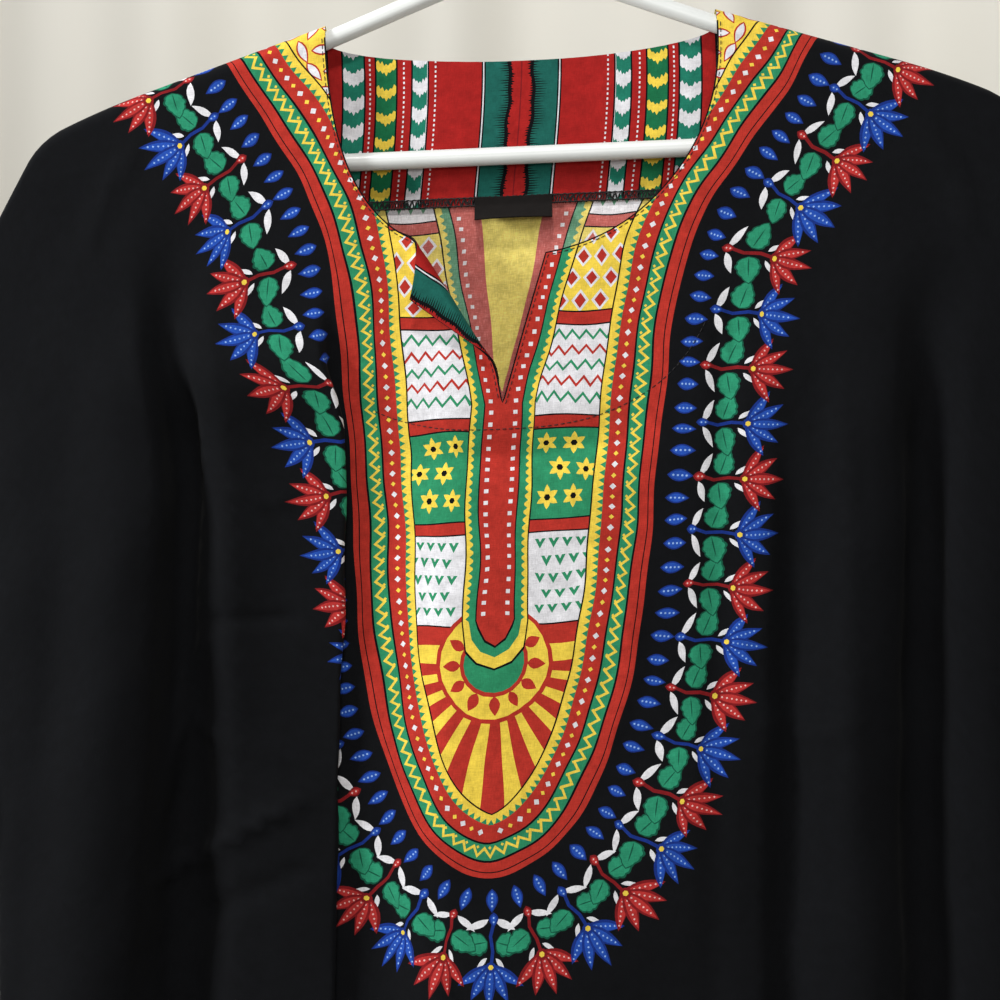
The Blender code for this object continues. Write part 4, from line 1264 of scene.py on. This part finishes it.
def lobed_leaf(length, width, lobes=4):
    """A broad leaf with a scalloped edge, from (0, 0) along +y."""
    share = np.linspace(0, 1, lobes * 4 + 1)
    scallop = 1 + 0.16 * np.abs(np.sin(lobes * math.pi * share))
    half = width / 2 * np.sin(math.pi * share**0.7) ** 0.8 * scallop
    return mirrored(np.stack([half, share * length], -1), closed=True)


def polygon(sides, radius, turn=0.0):
    angle = turn + 2 * math.pi * np.arange(sides) / sides
    return radius * np.stack([np.cos(angle), np.sin(angle)], -1)


def box(left, right, low, high):
    return [(left, low), (right, low), (right, high), (left, high)]


def turned(shape, degrees):
    c, s = math.cos(math.radians(degrees)), math.sin(math.radians(degrees))
    x, y = np.asarray(shape, float).T
    return np.stack([x * c - y * s, x * s + y * c], -1)


def band_line(points, width):
    """A band of this width along open points."""
    side = left_of(points) * width / 2
    return np.concatenate([points + side, (points - side)[::-1]])


class Drawing:
    """Shapes with their colour numbers, the last on top."""

    def __init__(self):
        self.shapes = []

    def fill(self, shape, colour, mirror=False):
        shape = np.asarray(shape, float)
        self.shapes.append((shape, colour))
        if mirror:
            self.shapes.append((shape * (-1, 1), colour))

    def at(self, shape, colour, place, out):
        """A local shape, x along the edge and y outwards, set at a place on both sides."""
        x, y = shape.T
        along = np.array([out[1], -out[0]])
        self.fill(place + x[:, None] * along + y[:, None] * out, colour, place[0] > 0.5)


def centre_half(w):
    """Half the width of the strip down the middle of the print."""
    return 15.0 + 0.235 * np.maximum(0, 186 - np.asarray(w, float))


def centre_fill(inset, end):
    w = np.array([88, 110, 130, 150, 170, 186, 200, 220, 240, 260, 276, 286])
    half = np.maximum(centre_half(w) - inset, 0.3)
    tip = [(half[-1] * 0.86, end - 9), (half[-1] * 0.5, end - 3), (0, end)]
    return mirrored(np.concatenate([np.stack([half, w], -1), tip]))


FIELD_EDGE = edge_half(-26.0)[0][::-1]


def field_half(w):
    """Half the width of the print's inner field."""
    return np.interp(w, FIELD_EDGE[:, 1], FIELD_EDGE[:, 0])


def spots(rows, columns, start, step, shift, clear):
    """Places of a pattern in staggered rows, as far as they keep clear of the field's edge."""
    for row in range(rows):
        for column in range(columns):
            u = start[0] + step[0] * column + shift * (row % 2)
            w = start[1] + step[1] * row
            if u + clear <= field_half(w):
                yield u, w, row + column


PANEL_INNER = 13.0
FRAME_HALF = 0.35


def draw_panel(d, kind, top, height):
    """One row of the inner field, as two panels beside the centre."""
    low = top + height
    levels = np.linspace(top, low, 9)
    side = np.stack([field_half(levels), levels], -1)
    d.fill(np.concatenate([[(PANEL_INNER, low), (PANEL_INNER, top)], side]),
           {"triangles": W, "diamonds": Y, "rosettes": G, "zigzags": W}[kind], True)
    if kind == "triangles":
        for u, w, _ in spots(int(height // 7.4), 9, (20.5, top + 5), (6.2, 7.4), 3.1, 2):
            d.fill([(u - 2.5, w - 1.8), (u + 2.5, w - 1.8), (u, w + 2.6)], G, True)
            d.fill([(u - 0.9, w - 1.8), (u + 0.9, w - 1.8), (u, w - 0.2)], W, True)
    if kind == "diamonds":
        for u, w, _ in spots(4, 6, (21, top + 6), (9, 10.4), 4.5, 3):
            for half, high, colour in ((4.0, 5.0, W), (2.6, 3.4, R)):
                d.fill([(u, w - high), (u + half, w), (u, w + high), (u - half, w)], colour, True)
    if kind == "rosettes":
        for u, w, _ in spots(3, 5, (22, top + 7.2), (12, 12.3), 6, 4):
            for k in range(6):
                d.fill(turned(leaf_shape(5.4, 2.8, 4), 60 * k) + (u, w), Y, True)
            d.fill(polygon(6, 1.5) + (u, w), K, True)
    if kind == "zigzags":
        for k, colour in enumerate((G, R, G, R, G)):
            w = top + 4.6 + k * 7.4
            us = np.arange(15, field_half(w) + 1, 3.2)
            line = np.stack([us, w + 2.0 * (-1.0) ** np.arange(len(us))], -1)
            d.fill(band_line(line, 1.7), colour, True)
    for w in (top, low):
        d.fill(box(PANEL_INNER, float(field_half(w)), w - FRAME_HALF, w + FRAME_HALF), K, True)


FLOWER_HEAD = 39
FLOWER_REACH = 45


def draw_flower(d, place, out, red):
    """A stemmed flower that points away from the print's edge, with its leaves."""
    deep, bright, dot = (DEEP_RED, FLOWER_RED, PALE_RED) if red else (DEEP_BLUE, B, PALE_BLUE)

    def put_shape(shape, turn, x, y, colour):
        d.at(turned(shape, turn) + (x, y), colour, place, out)

    for side in (-1, 1):
        x, turn = side * 1.8, -side * 74
        put_shape(lobed_leaf(13.2, 10.0), turn, x, 28.5, DEEP_LEAF)
        put_shape(lobed_leaf(12.2, 8.4), turn, x + side * 0.4, 28.5, L)
        put_shape(leaf_shape(10, 0.7, 3), turn, x, 28.5, DEEP_LEAF)
        put_shape(leaf_shape(11, 3.5, 6, side * 1.3), -side * 55, side * 1.4, 18.5, W)
        put_shape(leaf_shape(7, 2.2, 5, -side * 0.8), -side * 48, side * 2.0, 36.0, W)
    stem = np.array([(0.9, 20), (-0.6, 26), (0.5, 33), (0, 41)])
    put_shape(band_line(stem, 1.5), 0, 0, 0, deep)
    put_shape(leaf_shape(6.4, 4.2, 6), 0, 0.8, 15.6, deep)
    put_shape(leaf_shape(4.6, 2.6, 5), 0, 0.8, 16.6, bright)
    for reach in (18.0, 19.8):
        put_shape(polygon(4, 0.5), 0, 0.8, reach, dot)
    for k in (-2, 2, -1, 1, 0):
        petal = leaf_shape(21.0 - 1.4 * abs(k), 5.8, 8, 0.9 * k)
        put_shape(petal, -25 * k, 0, FLOWER_HEAD, deep)
        put_shape(petal * (0.64, 0.86) + (0, 1.6), -25 * k, 0, FLOWER_HEAD, bright)
        for reach in (4.6, 6.8, 9.0, 11.2, 13.4, 15.6):
            bend = 0.9 * k * math.sin(math.pi * reach / 40) ** 2
            put_shape(polygon(4, 0.52) + (bend, reach), -25 * k, 0, FLOWER_HEAD, dot)
    put_shape(polygon(8, 2.6), 0, 0, 40.4, deep)
    put_shape(polygon(6, 1.3), 0, 0, 40.4, Y)


# The unevenness of a print that was drawn by hand
HAND_SHIFT = 0.24
HAND_WAVES = [rolling(seed, 8, 20.0, 60.0) for seed in (17, 18)]


def hand_drawn(shape):
    shape = divided(shape, 5.0)
    return shape + HAND_SHIFT * np.stack([waves_at(waves, *shape.T) for waves in HAND_WAVES], -1)


def draw_yoke(d):
    """The ground between the shoulders and its crossed petals."""
    yoke = np.array([(float(field_half(w)), w) for w in np.linspace(-22, 57, 12)])
    d.fill(np.concatenate([yoke, (yoke * (-1, 1))[::-1]]), Y)
    chance = np.random.default_rng(11)
    for u, w, number in spots(8, 6, (84, -22), (9.5, 9.6), 4.7, 3):
        tilt = float(chance.uniform(-35, 35)) + 90 * (number % 2)
        for length, width, middle, colour in ((11.5, 5.0, 5.7, R), (9.6, 3.4, 4.8, W)):
            petal = leaf_shape(length, width, 6) - (0, middle)
            d.fill(turned(petal, tilt) + (u, w), colour, True)


SUN = (0, 306)


def draw_sun(d):
    """The half sun at the lower end of the field."""
    low_field = edge_whole(-26)
    d.fill(low_field[low_field[:, 1] > 294], Y)
    for k in range(11):
        angle = math.radians(2 + 17.6 * k)
        reach = 72 - 26 * abs(math.cos(angle)) ** 1.5
        ends = [(reach * math.cos(a), reach * math.sin(a)) for a in (angle - 0.085, angle + 0.085)]
        d.fill(np.array([(0, 0), *ends]) + SUN, R)
    for radius, colour in ((27.5, R), (25.5, Y)):
        d.fill(polygon(24, radius) + SUN, colour)
    for k in range(12):
        d.fill(turned(leaf_shape(9, 5.2, 5), 30 * k) + SUN + turned([(0, 15)], 30 * k), R)
    for radius, colour in ((15.5, R), (13.5, G)):
        d.fill(polygon(20, radius) + SUN, colour)


def draw_centre(d):
    """The strip down the middle and its marks."""
    for inset, colour, end in (
        (0, K, 309), (0.7, Y, 308), (3.6, G, 303), (6.6, K, 299), (7.2, R, 298)
    ):
        d.fill(centre_fill(inset, end), colour)
    d.fill([(-17, 84), (17, 84), (9.5, 130), (3.0, 168), (0, 178), (-3.0, 168), (-9.5, 130)], Y)
    for w in 96 + 5.2 * np.arange(37):
        u = float(centre_half(w)) - 10.0
        d.fill(polygon(4, 1.25, math.pi / 4) + (u, w), W, True)
    for w in 94 + 3.6 * np.arange(54):
        u = float(centre_half(w)) - 3.6
        d.fill([(u - 0.2, w - 1.5), (u + 1.7, w), (u - 0.2, w + 1.5)], G, True)


def draw_bands(d):
    """The bands round the field, with a zigzag and rows of small marks."""
    for outer, within, colour in (
        (0, -7.2, R), (-2.4, -2.9, K), (-7.2, -8.2, K), (-8.2, -15.4, G), (-15.4, -16.3, K),
        (-16.3, -24.4, R), (-24.4, -29, Y), (-29, -29.7, K),
    ):
        d.fill(np.concatenate([edge_whole(outer), edge_whole(within)[::-1]]), colour)
    places, outs = edge_half(-11.8, 3.1)
    zigzag = places + outs * (1.9 * (-1.0) ** np.arange(len(places)))[:, None]
    d.fill(band_line(mirrored(zigzag[::-1])[::-1], 1.8), Y)
    for place, out in zip(*edge_half(-13.9, 6.2)):
        d.at(polygon(4, 0.8), Y, place, out)
    for k, (place, out) in enumerate(zip(*edge_half(-20.3, 5.0))):
        if k:
            d.at(polygon(4, 1.5 if k % 2 else 1.15), W if k % 2 else Y, place, out)
    for place, out in zip(*edge_half(-24.4, 3.6)):
        d.at(np.array([(-1.5, 0.1), (1.5, 0.1), (0, -2.5)]), G, place, out)


def draw_border(d):
    """The beads and the flowers outside the edge."""
    bead = leaf_shape(10.8, 5.4, 8)
    for place, out in zip(*edge_half(5.0, 10.4)):
        d.at(bead, DEEP_BLUE, place, out)
        d.at(bead * (0.76, 0.84) + (0, 0.8), B, place, out)
        for reach in (2.5, 4.3, 6.1, 7.9):
            d.at(polygon(5, 0.52) + (0, reach), PALE_BLUE, place, out)
    for k, (place, out) in enumerate(zip(*edge_half(FLOWER_REACH, 25.5))):
        draw_flower(d, place - out * FLOWER_REACH, out, k % 2)


def print_drawing(front):
    """The whole print as shapes and colour numbers, with a dark line along the neck's edge."""
    d = Drawing()
    d.fill(edge_whole(-28.0), R)
    draw_yoke(d)
    for kind, top, height in (("triangles", 62, 34), ("diamonds", 102, 42), ("zigzags", 150, 42),
                              ("rosettes", 198, 42), ("triangles", 246, 42)):
        draw_panel(d, kind, top, height)
    draw_sun(d)
    draw_centre(d)
    draw_bands(d)
    draw_border(d)
    edge = band_line(mirrored(half_neck(front)), 1.3)
    return [(hand_drawn(shape), colour) for shape, colour in d.shapes] + [(edge, K)]


# Materials


class Finish:
    """A material. Each input of a node is a value or another node's output."""

    def __init__(self, name):
        self.material = bpy.data.materials.new(name)
        self.material.use_nodes = True
        self.tree = self.material.node_tree

    def feed(self, node, inputs):
        for key, value in inputs.items():
            if isinstance(value, bpy.types.NodeSocket):
                self.tree.links.new(value, node.inputs[key])
            else:
                node.inputs[key].default_value = value

    def node(self, kind, inputs, output=0, **settings):
        """The output of a new node."""
        made = self.tree.nodes.new(kind)
        for key, value in settings.items():
            setattr(made, key, value)
        self.feed(made, inputs)
        return made.outputs[output]

    def math(self, operation, first, second):
        return self.node("ShaderNodeMath", {0: first, 1: second}, operation=operation)

    def ranged(self, value, *limits):
        """The value carried from one pair of limits to another."""
        keys = ("From Min", "From Max", "To Min", "To Max")
        return self.node("ShaderNodeMapRange", {**dict(zip(keys, limits)), "Value": value})

    def mottled(self, scale, detail, low, high):
        """A colour that wanders between two over the piece, and the noise that it follows."""
        place = self.node("ShaderNodeTexCoord", {}, "Object")
        inputs = {"Vector": place, "Scale": scale, "Detail": detail}
        noise = self.node("ShaderNodeTexNoise", inputs, "Fac")
        colour = self.node("ShaderNodeValToRGB", {"Fac": noise}, "Color")
        for element, tone in zip(colour.node.color_ramp.elements, (low, high)):
            element.color = (*tone, 1)
        return colour, noise

    def done(self, **shader):
        """The material, with these inputs of its shader by their names."""
        inputs = {key.replace("_", " "): value for key, value in shader.items()}
        self.feed(self.tree.nodes["Principled BSDF"], inputs)
        return self.material


def cotton(name, strength, streak, sheen):
    """Plain-woven cotton: yarns across and down, uneven in thickness and in their dye."""
    made = Finish(name)
    flat = made.node("ShaderNodeUVMap", {}, "UV", uv_map="flat")
    yarns = []
    for scale in ((260.0, 2600.0, 1.0), (2600.0, 260.0, 1.0)):
        vector = made.node("ShaderNodeMapping", {"Scale": scale, "Vector": flat}, "Vector")
        inputs = {"Scale": 1.0, "Detail": 2.0, "Roughness": 0.6, "Vector": vector}
        yarns.append(made.node("ShaderNodeTexNoise", inputs, "Fac"))
    both = made.math("ADD", *yarns)
    tone = made.ranged(both, 0.7, 1.3, 1.0 - streak, 1.0 + streak)
    # Where the dye took unevenly, over a few millimetres
    inputs = {"Scale": 150.0, "Detail": 5.0, "Roughness": 0.7, "Vector": flat}
    patches = made.node("ShaderNodeTexNoise", inputs, "Fac")
    shade = made.math("MULTIPLY", tone, made.ranged(patches, 0.3, 0.7, 0.80, 1.18))
    # On the reverse, where alpha is 0, bare yarn shows between the ink in specks.
    printed = made.node("ShaderNodeVertexColor", {}, layer_name="print").node
    specks = made.ranged(both, 1.02, 1.22, 0.0, 0.75)
    bare = made.math("MULTIPLY", specks, made.math("SUBTRACT", 1.0, printed.outputs["Alpha"]))
    inputs = {"Factor": bare, "A": printed.outputs["Color"], "B": (0.10, 0.10, 0.10, 1)}
    inked = made.node("ShaderNodeMix", inputs, "Result", data_type="RGBA", blend_type="ADD")
    colour = made.node("ShaderNodeVectorMath", {0: inked, "Scale": shade}, operation="SCALE")
    inputs = {"Strength": strength, "Distance": 0.00025, "Height": both}
    bump = made.node("ShaderNodeBump", inputs, "Normal")
    return made.done(Base_Color=colour, Normal=bump, Roughness=0.88, Specular_IOR_Level=0.12,
                     Sheen_Weight=sheen, Sheen_Roughness=0.5)


def thread(name, colour):
    made = Finish(name)
    colour = made.mottled(1800.0, 2.0, linear(colour) * 0.7, linear(colour) * 1.3)[0]
    return made.done(Base_Color=colour, Roughness=0.7)


def plastic():
    """White moulded plastic with a faint unevenness from handling."""
    made = Finish("hanger_plastic")
    colour, noise = made.mottled(60.0, 3.0, linear((232, 235, 232)), linear((242, 244, 242)))
    inputs = {"Strength": 0.04, "Distance": 0.0004, "Height": noise}
    bump = made.node("ShaderNodeBump", inputs, "Normal")
    return made.done(Base_Color=colour, Normal=bump, Roughness=0.34, Subsurface_Weight=0.08,
                     Subsurface_Radius=(0.004, 0.004, 0.004))


# The stage, the light and the camera

STAGE_HALF = 6
CURTAIN_Y = 3.6
FLOOR_Z = -2.3
CAMERA_PLACE = (-0.0058, -1.0, -0.3324)
SENSOR = 36
VIEW_WIDTH = 0.463
VIEW_DISTANCE = 0.98
WHITE_LIGHT = (1.0, 0.985, 0.96)
LIGHTS = (
    # name, place, aim, size, power, colour
    ("curtain_light", (0, 1.6, 2.6), (0, 3.6, 0.4), (5.0, 1.0), 90, (1.0, 0.992, 0.98)),
    ("key", (-0.12, -0.95, 1.05), (0, 0, -0.3), (0.22, 0.16), 12.5, WHITE_LIGHT),
    ("fill", (-2.1, -0.95, 0.3), (0, 0, -0.4), (0.5, 0.5), 46, (0.96, 0.98, 1.0)),
    ("front_light", (0.12, -1.9, -0.1), (0, 0, -0.4), (0.4, 0.4), 7, (1.0, 0.99, 0.97)),
)


def build_stage():
    """A pale curtain far behind and a pale floor below."""
    made = Finish("curtain")
    colour = made.mottled(1.5, 2.0, linear((224, 221, 211)), linear((234, 231, 223)))[0]
    pale = made.done(Base_Color=colour, Roughness=0.9)
    across, up = np.meshgrid(np.linspace(-STAGE_HALF, STAGE_HALF, 601), np.linspace(-2.4, 5.0, 9))
    deep = CURTAIN_Y + 0.05 * np.sin(across * 9 + 0.6 * np.sin(across * 2.3))
    deep += 0.02 * np.sin(across * 21 + 1)
    folds = np.stack([across, deep, up], -1)
    near, far = -STAGE_HALF, CURTAIN_Y + 0.1
    ground = np.array([[(x, y, FLOOR_Z) for x in (-STAGE_HALF, STAGE_HALF)] for y in (near, far)])
    for name, places in (("curtain", folds), ("floor", ground)):
        mesh = bpy.data.meshes.new(name)
        faces = grid_triangles(*places.shape[:2])
        mesh.from_pydata(places.reshape(-1, 3).tolist(), [], faces.tolist())
        mesh.polygons.foreach_set("use_smooth", np.ones(len(faces), bool))
        mesh.materials.append(pale)
        put(name, mesh)


def build_light_and_camera():
    scene = bpy.context.scene
    camera = bpy.data.cameras.new("camera")
    camera.sensor_width = SENSOR
    camera.lens = SENSOR * VIEW_DISTANCE / VIEW_WIDTH
    camera.clip_start = 0.01
    scene.camera = put("camera", camera)
    scene.camera.location = CAMERA_PLACE
    scene.camera.rotation_euler = (math.radians(90), 0, 0)
    scene.world = bpy.data.worlds.new("world")
    scene.world.use_nodes = True
    background = scene.world.node_tree.nodes["Background"]
    background.inputs["Color"].default_value = (*WHITE_LIGHT, 1)
    background.inputs["Strength"].default_value = 0.15
    for name, place, aim, size, power, colour in LIGHTS:
        light = bpy.data.lights.new(name, "AREA")
        light.shape = "RECTANGLE"
        light.size, light.size_y = size
        light.energy = power
        light.color = colour
        lamp = put(name, light)
        lamp.location = place
        towards = Vector(aim) - Vector(place)
        lamp.rotation_euler = towards.to_track_quat("-Z", "Y").to_euler()
    scene.view_settings.view_transform = "Standard"


# The soft creases of the front: the line of each on the flat cloth, its height and its half
# width, in metres.
CREASES = (
    (((-0.171, 0.130), (-0.155, 0.154), (-0.168, 0.188), (-0.180, 0.240), (-0.186, 0.290),
      (-0.204, 0.330), (-0.233, 0.404)), 0.0035, 0.0055),
    (((0.132, 0.170), (0.135, 0.236), (0.138, 0.292), (0.142, 0.358), (0.147, 0.450)),
     -0.0018, 0.0060),
    (((0.160, 0.144), (0.165, 0.238), (0.171, 0.328), (0.172, 0.450)), 0.0022, 0.0070),
    (((-0.236, 0.405), (-0.200, 0.392), (-0.165, 0.374), (-0.134, 0.360)), 0.0030, 0.0045),
    (((-0.215, 0.425), (-0.175, 0.408), (-0.140, 0.394)), -0.0020, 0.0055),
    (((-0.205, 0.325), (-0.180, 0.336), (-0.146, 0.352)), 0.0015, 0.0045),
    (((-0.165, 0.215), (-0.145, 0.226), (-0.122, 0.224)), 0.0013, 0.0045),
    (((0.205, 0.190), (0.226, 0.240), (0.240, 0.300)), -0.0016, 0.0070),
    (((0.118, 0.330), (0.150, 0.346), (0.185, 0.340)), 0.0013, 0.0050),
    (((-0.069, 0.376), (-0.045, 0.416), (-0.018, 0.470)), 0.0020, 0.0050),
    (((-0.048, 0.372), (-0.029, 0.414), (-0.010, 0.470)), -0.0016, 0.0045),
    (((-0.190, 0.280), (-0.163, 0.279), (-0.128, 0.284)), -0.0017, 0.0036),
    (((0.098, 0.136), (0.102, 0.154), (0.104, 0.176)), 0.0010, 0.0030),
    (((-0.070, 0.164), (-0.065, 0.168), (-0.061, 0.174)), 0.0012, 0.0020),
    (((-0.058, 0.2040), (-0.020, 0.2105), (0.012, 0.2115), (0.058, 0.2050)), -0.0016, 0.0055),
    (((-0.060, 0.2035), (-0.020, 0.2085), (0.020, 0.2090), (0.055, 0.2030), (0.085, 0.1950)),
     -0.0040, 0.0130),
    (((0.020, 0.232), (0.046, 0.250), (0.058, 0.275)), 0.0011, 0.0050),
    (((-0.060, 0.300), (-0.052, 0.340), (-0.030, 0.372)), 0.0010, 0.0040),
    (((0.060, 0.262), (0.064, 0.310), (0.050, 0.360)), 0.0010, 0.0050),
    (((0.176, 0.050), (0.206, 0.082), (0.232, 0.120)), 0.0016, 0.0060),
    (((-0.176, 0.050), (-0.202, 0.080), (-0.224, 0.112)), 0.0014, 0.0060),
)

# The threads, in millimetres along the cloth and in metres across themselves
HEM_TURNED = 20
THREAD_RADIUS = 0.00022
EDGING_RADIUS = 0.00034
EDGING_HALF = 99
EDGING_DEPTH = 4.2


def declare(piece, slot, *nodes):
    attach(piece, "root")
    if nodes:
        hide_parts(*nodes)


def main():
    cloth = cotton("printed_cotton", 0.45, 0.16, 0.012)
    facing_cloth = cotton("facing_cotton", 0.40, 0.12, 0.01)
    woven = cotton("label_woven", 0.5, 0.12, 0.02)
    neck_lines, facing_line = front_stitch_lines(), facing_stitch_line()
    back_neck = stitched_beside(mirrored(neck_edge(False)))
    front = Panel("front", 3, CREASES, [line * MM for line in neck_lines + [facing_line]])
    back = Panel("back", 4, (), [back_neck * MM])
    outlines = {"front": panel_outline(True), "back": panel_outline(False),
                "front_facing": front_facing_outline(), "back_facing": back_facing_outline()}

    guides = wrap_guides() + fold_guides() + corner_guides() + neck_lines + [facing_line]
    front_piece = build_panel(
        "front_panel", front, outlines["front"], print_drawing(True), guides, cloth)
    declare(front_piece, "printed_cotton", "front")
    guides = wrap_guides() + [back_neck]
    back_piece = build_panel(
        "back_panel", back, outlines["back"], print_drawing(False), guides, cloth)
    declare(back_piece, "printed_cotton", "back")
    sleeves = []
    for name, side in (("left", -1), ("right", 1)):
        sleeves.append(build_sleeve(f"sleeve_{name}_cloth", (front.drape, back.drape), side, cloth))
        declare(sleeves[-1][0], "printed_cotton", "sleeve_" + name)
    facing = build_facing(
        "front_facing", front, outlines["front_facing"], beside_slit(stripes(-5, 205)),
        wrap_guides() + corner_guides(), facing_cloth)
    declare(facing, "facing_cotton", "front_neck_facing")
    back_facing = build_facing(
        "back_facing", back, outlines["back_facing"], stripes(-5, 95), wrap_guides(), facing_cloth)
    declare(back_facing, "facing_cotton", "back_neck_facing")

    hem, side = 1000 * LENGTH - HEM_TURNED, 1000 * CHEST_HALF - 1
    hem_line = divided([(-side, hem), (side, hem)], 4, False)
    rows = [(front, line) for line in neck_lines + [facing_line, hem_line]]
    rows += [(back, line) for line in (back_neck, hem_line)]
    threads = [stitch for panel, line in rows for stitch in stitches(panel, line)]
    stitching = joined_tubes("stitching", threads, THREAD_RADIUS, thread("thread", (24, 20, 22)),
                             sides=5, cap=False)
    declare(stitching, "printed_cotton")
    lower = 1000 * BACK_FACING_END
    lower = divided([(-EDGING_HALF, lower), (EDGING_HALF, lower)], 1.5, False)
    loops = overlock(back, lower, EDGING_DEPTH, -FACING_INSIDE - CLOTH / 2)
    edging = joined_tubes(
        "facing_edging", loops, EDGING_RADIUS, thread("edging_thread", (22, 19, 20)), sides=5)
    declare(edging, "facing_cotton")
    label = build_label(back, woven)
    declare(label, "label_woven", "neck_label")
    hanger, hook = build_hanger(plastic())
    declare(hanger, "hanger_plastic", "hanger_arm_left", "hanger_arm_right", "hanger_bar")
    declare(hook, "hanger_plastic", "hanger_hook")

    build_stage()
    build_light_and_camera()


main()
